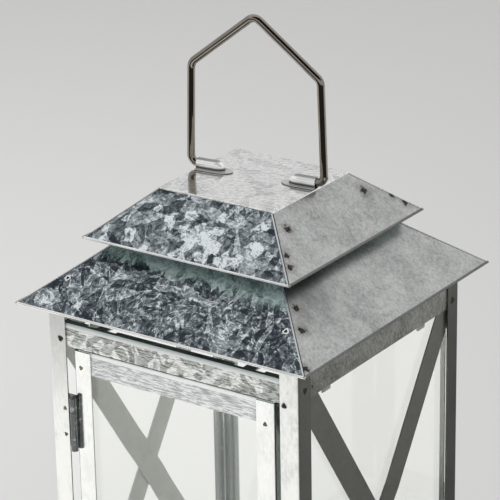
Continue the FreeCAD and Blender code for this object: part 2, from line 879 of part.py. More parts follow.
def build_door():
    height = door_high - door_low
    width, depth = size("stile_width"), size("stile_depth")
    stile = angle_bar("stile", width, depth, height)
    place(stile, door_left, door_face, door_low)
    keep(stile, "door_stile_hinge")
    stile = angle_bar("stile", depth, width, height)
    place(stile, door_right, door_face, door_low, turn("z", 90))
    drilled = boolean("Cut", stile, rivet_hole(rivet_bore, knob_x, knob_z, door_face, 2 * sheet_gauge))
    keep(drilled, "door_stile_latch")

    inset = sheet_gauge + inner_bend + size("rail_end_gap")
    length = door_right - door_left - 2 * inset
    middle = (door_left + door_right) / 2
    rail_face = door_face + sheet_gauge
    pane_front = sheet_gauge + inner_bend
    tongue_root = pane_front + size("glass_sheet") + size("glass_play")
    rail_high, flange = size("door_rail_height"), size("door_rail_flange")
    tail = size("door_tongue_tail")
    for end, level, flip in (("top", door_high, 0), ("bottom", door_low, 180)):
        bar = rail("rail", length, rail_high, flange, size("door_tongue_inset"), tongue_root, "bent", tail)
        place(bar, middle, rail_face, level, turn("y", flip))
        keep(bar, f"door_rail_{end}")
    left = middle - length / 2
    front = rail_face + pane_front
    tall = height - 2 * sheet_gauge - size("glass_head")
    pane("door_glass", left, front, door_low + sheet_gauge, length, size("glass_sheet"), tall)


# Hinges

knuckle_radius = size("knuckle_diameter") / 2
hinge_x = door_left + size("hinge_overlap")
hinge_y = door_face - knuckle_radius - size("knuckle_proud")
pin_radius = size("pin_diameter") / 2
pin_bore = pin_radius + size("pin_clearance")


def knuckles(body, spans, left, right):
    """Barrels round the Z axis over spans of the height, each tied to its leaf by a short web."""
    root = knuckle_radius + size("knuckle_gap")
    for low, high in spans:
        pad(body, circles(body, "XY", (knuckle_radius, 0, 0), lift=low), high - low)
        pad(body, polygons(body, "XY", rectangle(left, 0, right, root), lift=low), high - low)
    pocket(body, circles(body, "XY", (pin_bore, 0, 0)), size("hinge_height"), up=True)


def build_hinge(name, level):
    height = size("hinge_height")
    leaf = size("hinge_leaf")
    end = size("knuckle_end")
    gap = size("knuckle_gap")
    root = knuckle_radius + gap

    fixed = new_body("frame_leaf")
    post_back = -behind_post - hinge_y
    left = -knuckle_radius
    wing = left - size("hinge_wing")
    right = left + leaf
    wing_back = post_back + leaf
    bent = [
        (left, root),
        (left, post_back),
        (wing, post_back),
        (wing, wing_back),
        (right, wing_back),
        (right, root),
    ]
    pad(fixed, polygons(fixed, "XY", bent), height)
    knuckles(fixed, ((as_size(0), end), (height - end, height)), left, right)
    place(fixed, hinge_x, hinge_y, level)
    keep(fixed, f"hinge_{name}_frame_leaf")

    swinging = new_body("door_leaf")
    right = -size("hinge_overlap")
    left = right - leaf
    flat = rectangle(left, root, right, size("hinge_leaf_depth"))
    pad(swinging, polygons(swinging, "XY", flat), height)
    knuckles(swinging, ((end + gap, height - end - gap),), left, right)
    place(swinging, hinge_x, hinge_y, level)
    keep(swinging, f"hinge_{name}_door_leaf")

    pin = new_body("pin")
    head = size("pin_head_diameter") / 2
    thick = size("pin_head_height")
    crown = height + thick
    outline = [
        (0, 0),
        (pin_radius, 0),
        (pin_radius, height),
        (head, height),
        (head, height + thick / 2),
        (head / 2, crown),
        (0, crown),
    ]
    revolve(pin, polygons(pin, "XZ", outline), "V_Axis")
    place(pin, hinge_x, hinge_y, level)
    keep(pin, f"hinge_{name}_pin")


def build_hinges():
    top = door_high - size("hinge_inset")
    build_hinge("upper", top - size("hinge_height"))
    build_hinge("lower", door_low + size("hinge_inset"))


# Turn latch, knob and stop

def riveted_tail():
    """Half outline of a shank from its upset end, behind the frame sheet, to the back of the sheet."""
    tail = size("rivet_tail_diameter") / 2
    tail_end = sheet_gauge + size("rivet_tail_height")
    return [(0, tail_end), (tail, tail_end), (tail, sheet_gauge), (rivet_radius, sheet_gauge)]


def build_latch():
    thick = size("latch_sheet")
    half = size("latch_width") / 2
    tip = size("latch_length")
    body = new_body("turn_latch")
    pad(body, polygons(body, "XZ", rectangle(-half, -tip, half, half)), thick)
    round_edges(body, size("latch_corner"), *(on_line(x=sx * half, z=half) for sx in (-1, 1)))
    pad(body, polygons(body, "XZ", rectangle(-half, -tip, half, thick - tip)), thick + size("latch_tab"))
    pocket(body, circles(body, "XZ", (rivet_bore, 0, 0)), thick, up=True)
    place(body, latch_x, -half_body - size("washer_sheet"), door_middle)
    keep(body, "turn_latch")

    washer = new_body("latch_washer")
    ring = circles(washer, "XZ", (size("washer_diameter") / 2, 0, 0), (rivet_bore, 0, 0))
    pad(washer, ring, size("washer_sheet"))
    place(washer, latch_x, -half_body, door_middle)
    keep(washer, "latch_washer")

    rivet = new_body("latch_rivet")
    head = size("rivet_head_diameter") / 2
    under_head = -(size("washer_sheet") + thick + size("rivet_clearance"))
    crown = under_head - size("rivet_head_height")
    outline = riveted_tail() + [
        (rivet_radius, under_head),
        (head, under_head),
        (head, under_head - size("rivet_head_rim")),
        (head / 2, crown),
        (0, crown),
    ]
    revolve(rivet, polygons(rivet, "XY", outline), "V_Axis")
    place(rivet, latch_x, -half_body, door_middle)
    keep(rivet, "latch_rivet")


def build_knob():
    body = new_body("door_knob")
    head = size("knob_diameter") / 2
    neck = size("knob_neck_diameter") / 2
    under_head = -size("knob_neck_height")
    crown = under_head - size("knob_head_height")
    rim = size("knob_rim")
    outline = riveted_tail() + [
        (rivet_radius, 0),
        (neck, 0),
        (neck, under_head),
        (head, under_head - rim),
        (head, crown + rim),
        (head / 2, crown),
        (0, crown),
    ]
    revolve(body, polygons(body, "XY", outline), "V_Axis")
    place(body, knob_x, door_face, knob_z)
    keep(body, "door_knob")


def build_door_stop():
    """Z-bracket on the back of the post that the latch stile comes to rest against."""
    body = new_body("door_stop")
    back = size("stile_depth") - sheet_gauge + size("stop_play")
    start = window_edge + sheet_gauge / 2
    web = start + sheet_gauge
    foot = web + size("stop_foot")
    tip = door_right - size("stop_reach")
    corners = [
        (start, 0),
        (foot, 0),
        (foot, sheet_gauge),
        (web, sheet_gauge),
        (web, back + sheet_gauge),
        (tip, back + sheet_gauge),
        (tip, back),
        (start, back),
    ]
    pad(body, polygons(body, "XY", corners), size("stop_height"))
    place(body, 0, -behind_post, door_middle - size("stop_drop"))
    keep(body, "door_stop")


def write_parts():
    """Check every object of the document, then write one file for each sub-part."""
    doc.recompute()
    for item in doc.Objects:
        if {"Invalid", "Error"} & set(item.State):
            raise ValueError(f"{item.Name} ({item.Label}) failed")
    for item in SUBPARTS:
        if item.Shape.isNull() or not item.Shape.isValid():
            raise ValueError(f"{item.Label} has no valid shape")
    os.makedirs("parts", exist_ok=True)
    for item in SUBPARTS:
        item.Shape.exportStep(f"parts/{item.Label}.step")
        print(item.Label, len(item.Shape.Solids), round(item.Shape.Volume, 1))


build_base_pan()
build_posts()
build_rails()
build_braces()
build_panes()
lower.build()
upper.build()
build_roof_brackets()
build_top_plate()
build_lugs()
build_handle()
build_door()
build_hinges()
build_latch()
build_knob()
build_door_stop()
write_parts()
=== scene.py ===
"""Looks of a candle lantern in galvanised sheet: finishes, folds, weld marks, studio and camera."""

import logging
import math
from dataclasses import dataclass
from enum import Enum
from typing import Any, Callable, Union

import bpy
from mathutils import Matrix, Vector


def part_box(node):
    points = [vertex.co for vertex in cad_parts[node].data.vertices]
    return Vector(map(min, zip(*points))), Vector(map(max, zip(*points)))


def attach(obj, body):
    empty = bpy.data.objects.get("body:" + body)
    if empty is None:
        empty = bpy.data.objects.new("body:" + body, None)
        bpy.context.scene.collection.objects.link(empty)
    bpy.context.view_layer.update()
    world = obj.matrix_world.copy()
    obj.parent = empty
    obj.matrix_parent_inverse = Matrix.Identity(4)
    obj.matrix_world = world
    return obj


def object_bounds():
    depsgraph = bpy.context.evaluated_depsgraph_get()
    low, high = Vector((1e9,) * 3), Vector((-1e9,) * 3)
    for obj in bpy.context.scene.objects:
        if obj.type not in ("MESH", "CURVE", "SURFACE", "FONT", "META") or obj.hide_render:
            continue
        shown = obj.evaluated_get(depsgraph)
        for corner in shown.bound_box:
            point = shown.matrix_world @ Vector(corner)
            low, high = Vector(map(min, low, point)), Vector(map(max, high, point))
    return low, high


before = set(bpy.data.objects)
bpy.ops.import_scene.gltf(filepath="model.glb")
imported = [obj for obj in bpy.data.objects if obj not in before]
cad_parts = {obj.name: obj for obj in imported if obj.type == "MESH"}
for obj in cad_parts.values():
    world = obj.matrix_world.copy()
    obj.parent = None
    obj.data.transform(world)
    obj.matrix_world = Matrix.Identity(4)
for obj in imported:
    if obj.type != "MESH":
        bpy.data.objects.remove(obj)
CAD_LOW, CAD_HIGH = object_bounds()

LOG = logging.getLogger("lantern")
MM = 0.001
X_AXIS, Y_AXIS, Z_AXIS = (1, 0, 0), (0, 1, 0), (0, 0, 1)
Colour = tuple[float, float, float]
Triple = tuple[float, float, float]
Band = tuple[float, float]


class Side(Enum):
    """The four sides of the lantern, each with the direction that it faces."""

    FRONT = (0, -1)
    RIGHT = (1, 0)
    BACK = (0, 1)
    LEFT = (-1, 0)

    @property
    def word(self) -> str:
        """Name of the side as the parts use it."""
        return self.name.lower()

    @property
    def spangled(self) -> bool:
        """Whether the side is the front or the back, whose roof sheets are dressed dark and spangled while
        those of the sides are light and matt: partly the zinc's own look, partly painted light and shade.
        """
        return self in (Side.FRONT, Side.BACK)

    @property
    def outward(self) -> Vector:
        """Level direction that points out of the side."""
        return Vector((self.value[0], self.value[1], 0))

    @property
    def rightward(self) -> Vector:
        """Level direction that points right when looking at the side."""
        return Vector((-self.value[1], self.value[0], 0))

    @property
    def next_right(self) -> "Side":
        """The side round the corner to the right."""
        return Side((-self.value[1], self.value[0]))


class Signal:
    """A value in a node tree, with operators that add Math nodes."""

    def __init__(self, graph: "Graph", socket: bpy.types.NodeSocket) -> None:
        """Wrap a socket of a graph."""
        self.graph = graph
        self.socket = socket

    def math(self, operation: str, *others: Any) -> "Signal":
        """Add a Math node with this value as its first operand.

        Args:
            operation: The node's operation.
            others: Numbers or signals for its other operands.

        Returns:
            The node's result.
        """
        sockets = dict(zip(("Value", "Value_001", "Value_002"), (self, *others)))
        return self.graph.add("ShaderNodeMath", {"operation": operation}, sockets)["Value"]

    def __add__(self, other: Any) -> "Signal":
        """Sum."""
        return self.math("ADD", other)

    def __sub__(self, other: Any) -> "Signal":
        """Difference."""
        return self.math("SUBTRACT", other)

    def __rsub__(self, other: float) -> "Signal":
        """Difference from a number."""
        return self.math("MULTIPLY_ADD", -1.0, other)

    def __mul__(self, other: Any) -> "Signal":
        """Product."""
        return self.math("MULTIPLY", other)

    def centred(self) -> "Signal":
        """A value from 0 to 1, moved to lie about zero."""
        return self - 0.5

    def above(self, low: float, high: float) -> "Signal":
        """Soft step: 0 below low, 1 above high, or the other way round if high is the lower one."""
        settings = {"interpolation_type": "SMOOTHSTEP"}
        sockets = {"Value": self, "From Min": low, "From Max": high}
        return self.graph.add("ShaderNodeMapRange", settings, sockets)["Result"]


@dataclass(frozen=True)
class Noise:
    """One kind of cloudy variation: cycles per unit, octaves, strength of the fine ones, starting place."""

    scale: float
    detail: float
    rough: float
    seed: float = 0.0


class Graph:
    """Node tree of one material or of the world."""

    underside_band: Band = (0.2, 0.5)

    def __init__(self, tree: bpy.types.NodeTree) -> None:
        """Start from an empty tree."""
        self.tree = tree
        tree.nodes.clear()

    def add(
        self, kind: str, settings: Union[dict, None] = None, sockets: Union[dict, None] = None
    ) -> dict[str, Signal]:
        """Add one node.

        Args:
            kind: The node's type.
            settings: Its own properties, set first.
            sockets: Values or signals for its inputs, by identifier or name.

        Returns:
            The node's outputs by name and identifier.
        """
        node = self.tree.nodes.new(kind)
        for name, setting in (settings or {}).items():
            setattr(node, name, setting)
        inputs = by_name(node.inputs)
        for name, content in (sockets or {}).items():
            if isinstance(content, Signal):
                self.tree.links.new(content.socket, inputs[name])
            else:
                inputs[name].default_value = content
        return {name: Signal(self, socket) for name, socket in by_name(node.outputs).items()}

    def ramp(self, factor: Signal, stops: list[tuple[float, Colour]]) -> Signal:
        """Colour along a ramp.

        Args:
            factor: Place along the ramp.
            stops: Positions and colours.

        Returns:
            The colour.
        """
        colour = self.add("ShaderNodeValToRGB", sockets={"Fac": factor})["Color"]
        elements = colour.socket.node.color_ramp.elements
        while len(elements) < len(stops):
            elements.new(1.0)
        for element, (position, tint) in zip(elements, stops):
            element.position = position
            element.color = (*tint, 1.0)
        return colour

    def mix(self, factor: Any, first: Any, second: Any, blend: str = "MIX") -> Signal:
        """Blend two colours.

        Args:
            factor: Share of the second colour.
            first: A signal or a plain colour.
            second: A signal or a plain colour.
            blend: The node's blend type.

        Returns:
            The blended colour.
        """
        sides = [side if isinstance(side, Signal) else (*side, 1.0) for side in (first, second)]
        settings = {"data_type": "RGBA", "blend_type": blend}
        sockets = {"Factor_Float": factor, "A_Color": sides[0], "B_Color": sides[1]}
        return self.add("ShaderNodeMix", settings, sockets)["Result_Color"]

    def vector(self, x: Any, y: Any, z: Any = 0.0) -> Signal:
        """Vector from three values."""
        return self.add("ShaderNodeCombineXYZ", sockets={"X": x, "Y": y, "Z": z})["Vector"]

    def split(self, vector: Signal) -> tuple[Signal, Signal, Signal]:
        """Three values of a vector or colour."""
        parts = self.add("ShaderNodeSeparateXYZ", sockets={"Vector": vector})
        return parts["X"], parts["Y"], parts["Z"]

    def measure(self, operation: str, first: Any, second: Any) -> Signal:
        """Number that a Vector Math node makes of two vectors."""
        sockets = {"Vector": first, "Vector_001": second}
        return self.add("ShaderNodeVectorMath", {"operation": operation}, sockets)["Value"]

    def place(self) -> Signal:
        """Where a point of the piece is, in metres."""
        return self.add("ShaderNodeTexCoord")["Object"]

    def along(self, axis: Triple) -> Signal:
        """How far a point lies along an axis, in millimetres."""
        return self.measure("DOT_PRODUCT", self.place(), tuple(part / MM for part in axis))

    def distance(self, spot: Triple) -> Signal:
        """Distance from a spot given in millimetres, in millimetres."""
        metres = tuple(part * MM for part in spot)
        return self.measure("DISTANCE", self.place(), metres) * (1 / MM)

    def facing(self, direction: Triple) -> Signal:
        """How squarely the surface faces a fixed direction, from -1 to 1."""
        return self.measure("DOT_PRODUCT", self.add("ShaderNodeNewGeometry")["Normal"], direction)

    def underside(self) -> Signal:
        """Whether the surface looks down."""
        return self.facing((0, 0, -1)).above(*self.underside_band)

    def noise(self, vector: Signal, kind: Noise) -> Signal:
        """Fractal noise from 0 to 1."""
        sockets = {"Vector": vector, "Scale": kind.scale, "Detail": kind.detail, "Roughness": kind.rough}
        return self.add("ShaderNodeTexNoise", {"noise_dimensions": "3D"}, sockets)["Fac"]

    def flat_noise(self, u: Signal, v: Signal, kind: Noise) -> Signal:
        """Noise over a plane, its scale in cycles to the millimetre."""
        return self.noise(self.vector(u, v, kind.seed), kind)

    def solid_noise(self, kind: Noise) -> Signal:
        """Noise through the whole piece, its scale in cycles to the metre."""
        return self.noise(self.place(), kind)

    def cells(self, vector: Signal, scale: float = 1.0, **settings: str) -> dict[str, Signal]:
        """Voronoi cells over a plane."""
        settings = {"voronoi_dimensions": "2D", **settings}
        return self.add("ShaderNodeTexVoronoi", settings, {"Vector": vector, "Scale": scale})

    def bump(self, height: Signal, depth_mm: float, strength: float) -> Signal:
        """Surface normal shaped by a height."""
        sockets = {"Height": height, "Strength": strength, "Distance": depth_mm * MM}
        return self.add("ShaderNodeBump", sockets=sockets)["Normal"]

    def principled(self, sockets: dict) -> Signal:
        """Principled shader."""
        return self.add("ShaderNodeBsdfPrincipled", sockets=sockets)["BSDF"]

    def metal(self, colour: Any, rough: Any, metallic: Any, normal: Signal) -> Signal:
        """Principled shader of a bare metal."""
        sockets = {"Base Color": colour, "Roughness": rough, "Metallic": metallic, "Normal": normal}
        return self.principled(sockets)

    def finish(self, shader: Signal) -> None:
        """Send a shader to a material's output."""
        self.add("ShaderNodeOutputMaterial", sockets={"Surface": shader})


def by_name(sockets: Any) -> dict[str, bpy.types.NodeSocket]:
    """A node's inputs or outputs by name and by identifier, which goes before a name."""
    names = {socket.name: socket for socket in sockets}
    return names | {socket.identifier: socket for socket in sockets}


def new_graph(name: str) -> tuple[bpy.types.Material, Graph]:
    """Make a material with an empty node tree.

    Args:
        name: The material's name.

    Returns:
        The material and its graph.
    """
    material = bpy.data.materials.new(name)
    material.use_nodes = True
    return material, Graph(material.node_tree)


def scaled(colour: Colour, share: float) -> Colour:
    """A colour times a number."""
    return tuple(part * share for part in colour)


def mix_number(factor: Signal, low: float, high: float) -> Signal:
    """Number between low and high by a factor."""
    return factor * (high - low) + low


def weigh(signals: tuple[Signal, ...], shares: tuple[float, ...]) -> Signal:
    """Sum of values, each times its share."""
    parts = [signal * share for signal, share in zip(signals, shares)]
    return sum(parts[1:], parts[0])


@dataclass(frozen=True)
class Scorch:
    """Round mark on a sheet, in millimetres: a weld stain whose black core frays into a brown halo, or the
    middle and reach of a painted shadow.
    """

    spot: Triple
    core: float
    halo: float
    fray: float = 2.4
    core_edge: float = 0.35
    halo_edge: float = 0.4

    def mask(self, graph: Graph, ragged: Signal) -> tuple[Signal, Signal]:
        """Black core and brown halo.

        Args:
            graph: The sheet's graph.
            ragged: Noise that frays the outline.

        Returns:
            Masks of the core and of the halo.
        """
        distance = graph.distance(self.spot) + ragged.centred() * (self.fray * self.core)
        core = distance.above(self.core, self.core_edge * self.core)
        return core, distance.above(self.halo, self.halo_edge * self.core)


SCORCH_FRAY = Noise(650.0, 3.0, 0.6)
SCORCH_BROWN = (0.15, 0.13, 0.11)
SCORCH_BLACK = (0.012, 0.011, 0.011)
HALO_SHARE = 0.5
CORE_ROUGHNESS = 0.3
# Share of the shadow colour at the middle of a painted shadow
PAINTED_SHADOW_SHARE = 0.7


def burn(
    graph: Graph, colour: Signal, rough: Signal, scorches: tuple[Scorch, ...]
) -> tuple[Signal, Signal]:
    """Darken a sheet round its welds.

    Args:
        graph: The sheet's graph.
        colour: Its colour.
        rough: Its roughness.
        scorches: Its burns.

    Returns:
        The burnt colour and roughness.
    """
    if not scorches:
        return colour, rough
    ragged = graph.solid_noise(SCORCH_FRAY)
    for scorch in scorches:
        core, halo = scorch.mask(graph, ragged)
        colour = graph.mix(halo * HALO_SHARE, colour, SCORCH_BROWN)
        colour = graph.mix(core, colour, SCORCH_BLACK)
        rough = rough + core * CORE_ROUGHNESS
    return colour, rough


def smear(
    graph: Graph, colour: Signal, cloud: Signal, smudges: tuple[Scorch, ...], dark: Colour
) -> Signal:
    """Paint wide soft shadows on a sheet.

    Args:
        graph: The sheet's graph.
        colour: Its colour.
        cloud: Noise that makes the outline uneven.
        smudges: Where the painted shadows are and how far they reach.
        dark: Their colour.

    Returns:
        The smudged colour.
    """
    # Painted shadows: each darkens the sheet round its spot as shade would
    for painted_shadow in smudges:
        reach = graph.distance(painted_shadow.spot) + cloud.centred() * painted_shadow.halo
        colour = graph.mix(reach.above(painted_shadow.halo, painted_shadow.core) * PAINTED_SHADOW_SHARE, colour, dark)
    return colour


@dataclass(frozen=True)
class Crystals:
    """What a layer of crystals gives at a point, each from 0 to 1."""

    tone: Signal
    chance: Signal
    lines: Signal


@dataclass(frozen=True)
class CrystalLayer:
    """One layer of zinc crystals: fields of long shards, each field lying in a direction of its own."""

    field_mm: float
    length_mm: float
    width_mm: float
    seed: float
    line_mm: float = 0.5
    line_edge: float = 0.3
    sway: float = 0.9
    sway_pitch: float = 0.5
    sway_shift: float = 7.3
    field_shift: float = 31.0
    shard_shift: float = 50.0
    gaps: Noise = Noise(0.3, 2.0, 0.6, 5.0)
    gap_band: Band = (0.38, 0.58)

    def build(self, graph: Graph, u: Signal, v: Signal) -> Crystals:
        """Lay the crystals over a plane.

        Args:
            graph: The sheet's graph.
            u: Distance across the plane in millimetres.
            v: Distance up the plane in millimetres.

        Returns:
            A tone and a chance for each shard, and the bright lines between shards.
        """
        drift = Noise(self.sway_pitch / self.width_mm, 2.0, 0.5)
        sway_u = graph.noise(graph.vector(u, v, self.seed), drift).centred()
        sway_v = graph.noise(graph.vector(v, u, self.seed + self.sway_shift), drift).centred()
        bent_u = u + sway_u * (self.sway * self.width_mm)
        bent_v = v + sway_v * (self.sway * self.width_mm)
        flat = graph.vector(bent_u + self.field_shift * self.seed, bent_v)
        turn, slip, _ = graph.split(graph.cells(flat, 1 / self.field_mm)["Color"])
        angle = turn * (2 * math.pi)
        cosine, sine = angle.math("COSINE"), angle.math("SINE")
        lengthways = (bent_u * cosine + bent_v * sine) * (1 / self.length_mm)
        sideways = (bent_v * cosine - bent_u * sine) * (1 / self.width_mm)
        shards = graph.vector(lengthways + slip * self.shard_shift, sideways)
        tone, chance, _ = graph.split(graph.cells(shards)["Color"])
        rim = graph.cells(shards, feature="DISTANCE_TO_EDGE")["Distance"]
        broken = graph.noise(graph.vector(u, v, self.seed + self.gaps.seed), self.gaps)
        line = self.line_mm / self.width_mm
        lines = rim.above(line, self.line_edge * line) * broken.above(*self.gap_band)
        return Crystals(tone, chance, lines)


@dataclass(frozen=True)
class Blot:
    """Patch of bright zinc on a sheet: where its middle is and how far it reaches, in millimetres."""

    right: float
    up: float
    reach: float


@dataclass(frozen=True)
class PatchLayer:
    """Ragged cells of a sheet, of which those inside a blot are bright as a whole."""

    cell_mm: float
    seed: float
    fray: float = 0.7
    fray_noise: Noise = Noise(0.35, 3.0, 0.55)
    fray_shift: float = 4.1
    reach_band: Band = (0.9, 0.89)

    def build(
        self, graph: Graph, u: Signal, v: Signal, blots: tuple[Blot, ...]
    ) -> tuple[Signal, Signal]:
        """Lay the cells over a plane.

        Args:
            graph: The sheet's graph.
            u: Distance across the plane in millimetres.
            v: Distance up the plane in millimetres.
            blots: The bright patches.

        Returns:
            Whether a point lies in a bright cell, and a tone for each cell.
        """
        fray_u = graph.noise(graph.vector(u, v, self.seed), self.fray_noise).centred()
        fray_v = graph.noise(graph.vector(v, u, self.seed + self.fray_shift), self.fray_noise).centred()
        depth = self.cell_mm * self.fray
        cells = graph.cells(graph.vector(u + fray_u * depth, v + fray_v * depth), 1 / self.cell_mm)
        patch = None
        for blot in blots:
            distance = graph.measure("DISTANCE", cells["Position"], (blot.right, blot.up, 0.0))
            inside = distance.above(*(share * blot.reach for share in self.reach_band))
            patch = patch.math("MAXIMUM", inside) if patch else inside
        return patch, graph.split(cells["Color"])[0]


@dataclass(frozen=True)
class Finish:
    """A surface that pieces are dressed in."""

    name: str

    def surface(self, graph: Graph) -> Signal:
        """Shader of the surface, which each kind of finish makes in its own way."""
        raise NotImplementedError

    def build(self) -> bpy.types.Material:
        """Make the material.

        Returns:
            The material, ready for a piece.
        """
        material, graph = new_graph(self.name)
        graph.finish(self.surface(graph))
        return material


@dataclass(frozen=True)
class SpangledZinc(Finish):
    """Hot-dipped sheet with large bright and dark crystals, on a plane of its own."""

    across: Triple
    upward: Triple
    foot: float
    level: float
    veins: float = 0.52
    grain: float = 0.6
    sheltered: float = 0.0
    blots: tuple[Blot, ...] = ()
    rough: Band = (0.20, 0.36)
    rough_shares: Band = (0.7, 0.3)
    relief: Band = (0.06, 0.5)
    relief_shares: Triple = (0.5, 0.3, 0.3)
    dark: Colour = (0.030, 0.037, 0.046)
    slate: Colour = (0.113, 0.131, 0.142)
    pale: Colour = (0.37, 0.408, 0.426)
    bright: Colour = (0.80, 0.835, 0.86)
    stops: tuple[float, ...] = (0.02, 0.36, 0.70, 1.0)
    large: CrystalLayer = CrystalLayer(15.0, 12.0, 4.4, 1.7)
    large_share: float = 0.56
    large_lines: Band = (0.2, 1.0)
    small: CrystalLayer = CrystalLayer(8.0, 5.0, 1.9, 5.2)
    small_share: float = 0.40
    small_lines: float = 0.6
    strokes: CrystalLayer = CrystalLayer(11.0, 9.0, 1.5, 8.8)
    stroke_band: Band = (0.3, 0.9)
    stroke_lines: float = 0.9
    speckle: Noise = Noise(0.8, 3.0, 0.7, 3.0)
    drift: Noise = Noise(0.03, 2.0, 0.5, 3.0)
    drift_share: float = 0.5
    patches: PatchLayer = PatchLayer(4.6, 2.2)
    patch_shares: Band = (1.3, 0.3)
    patch_lift: float = 0.32
    cell_share: float = 0.12
    # Undersides: a pale teal tint, made matt, painted so that the sheet below mirrors them lighter
    underside: Colour = (0.50, 0.70, 0.68)
    underside_matt: float = 0.9
    # Teal tones of the painted shade and reflection that the upper roof casts on the lower one, and how the
    # strip frays and fades
    shelter: Colour = (0.18, 0.258, 0.252)
    shelter_pale: Colour = (0.46, 0.57, 0.555)
    shelter_band: Band = (-0.4, 0.5)
    shelter_fray: Triple = (0.05, 5.0, 3.0)
    shelter_fade: Band = (-7.0, 1.0)
    shelter_share: float = 0.9
    shelter_matt: float = 0.6

    def surface(self, graph: Graph) -> Signal:
        """Crystals, bright patches, and a strip of painted shade and reflection where the upper roof
        overhangs.

        Args:
            graph: The material's graph.

        Returns:
            The shader.
        """
        u, v = graph.along(self.across), graph.along(self.upward) - self.foot
        large, small, strokes = (
            layer.build(graph, u, v) for layer in (self.large, self.small, self.strokes)
        )
        speckle, drift = (graph.flat_noise(u, v, kind).centred() for kind in (self.speckle, self.drift))
        tones = (large.tone.centred(), small.tone.centred(), speckle, drift)
        value = weigh(tones, (self.large_share, self.small_share, self.grain, self.drift_share))
        lines = large.lines * mix_number(large.chance, *self.large_lines)
        lines = lines + small.lines * small.chance * self.small_lines
        lines = lines + strokes.lines * strokes.chance.above(*self.stroke_band) * self.stroke_lines
        value = value + lines * self.veins + self.level
        if self.blots:
            patch, tone = self.patches.build(graph, u, v, self.blots)
            lift = weigh((speckle, tone), self.patch_shares) + self.patch_lift
            value = value + tone.centred() * self.cell_share + patch * lift
        # Painted reflection: undersides are tinted and made matt
        below = graph.underside()
        matt = below * self.underside_matt
        tints = (self.dark, self.slate, self.pale, self.bright)
        colour = graph.ramp(value, list(zip(self.stops, tints)))
        # Painted shade and reflection of the upper roof: a teal matt strip from this height up the sheet
        if self.sheltered:
            ragged = v + weigh((u, speckle, large.tone.centred()), self.shelter_fray)
            shelter = ragged.above(*(self.sheltered + step for step in self.shelter_fade))
            light = (value - self.level).above(*self.shelter_band)
            tint = graph.mix(light, self.shelter, self.shelter_pale)
            colour = graph.mix(shelter * self.shelter_share, colour, tint)
            matt = matt + shelter * self.shelter_matt
        colour = graph.mix(below, colour, self.underside)
        rough = mix_number(weigh((small.tone, large.tone), self.rough_shares), *self.rough)
        height = weigh((large.tone, small.tone, lines), self.relief_shares)
        metallic = 1.0 - matt.math("MINIMUM", 1.0)
        return graph.metal(colour, rough, metallic, graph.bump(height, *self.relief))


@dataclass(frozen=True)
class Hips:
    """The two slanting edges of a roof sheet, in millimetres on the sheet's plane."""

    half: float
    foot: float
    lean: float
    dark_width: float = 1.5
    core_share: float = 0.3

    def edge(self, u: Signal, v: Signal) -> Signal:
        """Painted shade: a dark line along both edges."""
        inside = self.half - (v - self.foot) * self.lean - u.math("ABSOLUTE")
        return inside.above(self.dark_width, self.core_share * self.dark_width)


@dataclass(frozen=True)
class MattZinc(Finish):
    """Weathered galvanised sheet with a fine matt grain."""

    across: Triple
    upward: Triple
    tone: Colour
    depth: float = 0.30
    rough: Band = (0.34, 0.5)
    metallic: float = 0.9
    underside: Union[Colour, None] = None
    scorches: tuple[Scorch, ...] = ()
    smudges: tuple[Scorch, ...] = ()
    hips: Union[Hips, None] = None
    cloud: Noise = Noise(0.045, 3.0, 0.6, 11.0)
    grain: Noise = Noise(0.85, 4.0, 0.75, 2.0)
    grain_pitch: Band = (0.9, 0.55)
    crystals: CrystalLayer = CrystalLayer(12.0, 7.0, 3.0, 9.1)
    shares: tuple[float, ...] = (0.34, 0.58, 0.05, 0.03)
    stops: Triple = (0.36, 0.47, 0.60)
    smudge_tone: float = 0.28
    hip_tone: float = 0.1
    relief: Band = (0.04, 0.35)

    def surface(self, graph: Graph) -> Signal:
        """Grain and clouds, with painted shadows, painted shade along the hips, and burns where the sheet
        has them.

        Args:
            graph: The material's graph.

        Returns:
            The shader.
        """
        u, v = graph.along(self.across), graph.along(self.upward)
        cloud = graph.flat_noise(u, v, self.cloud)
        grain = graph.flat_noise(u * self.grain_pitch[0], v * self.grain_pitch[1], self.grain)
        layer = self.crystals.build(graph, u, v)
        body = weigh((cloud, grain, layer.tone, layer.lines), self.shares)
        tints = [scaled(self.tone, share) for share in (1 - self.depth, 1.0, 1 + self.depth)]
        colour = graph.ramp(body, list(zip(self.stops, tints)))
        # Painted shadows, in a dark share of the sheet's tone
        colour = smear(graph, colour, cloud, self.smudges, scaled(self.tone, self.smudge_tone))
        # Painted shade along the hip seams
        if self.hips:
            colour = graph.mix(self.hips.edge(u, v), colour, scaled(self.tone, self.hip_tone))
        colour, rough = burn(graph, colour, mix_number(grain, *self.rough), self.scorches)
        # Painted reflection: the underside is tinted teal so that the sheet below mirrors it as a teal band
        if self.underside:
            colour = graph.mix(graph.underside(), colour, self.underside)
        return graph.metal(colour, rough, self.metallic, graph.bump(grain, *self.relief))


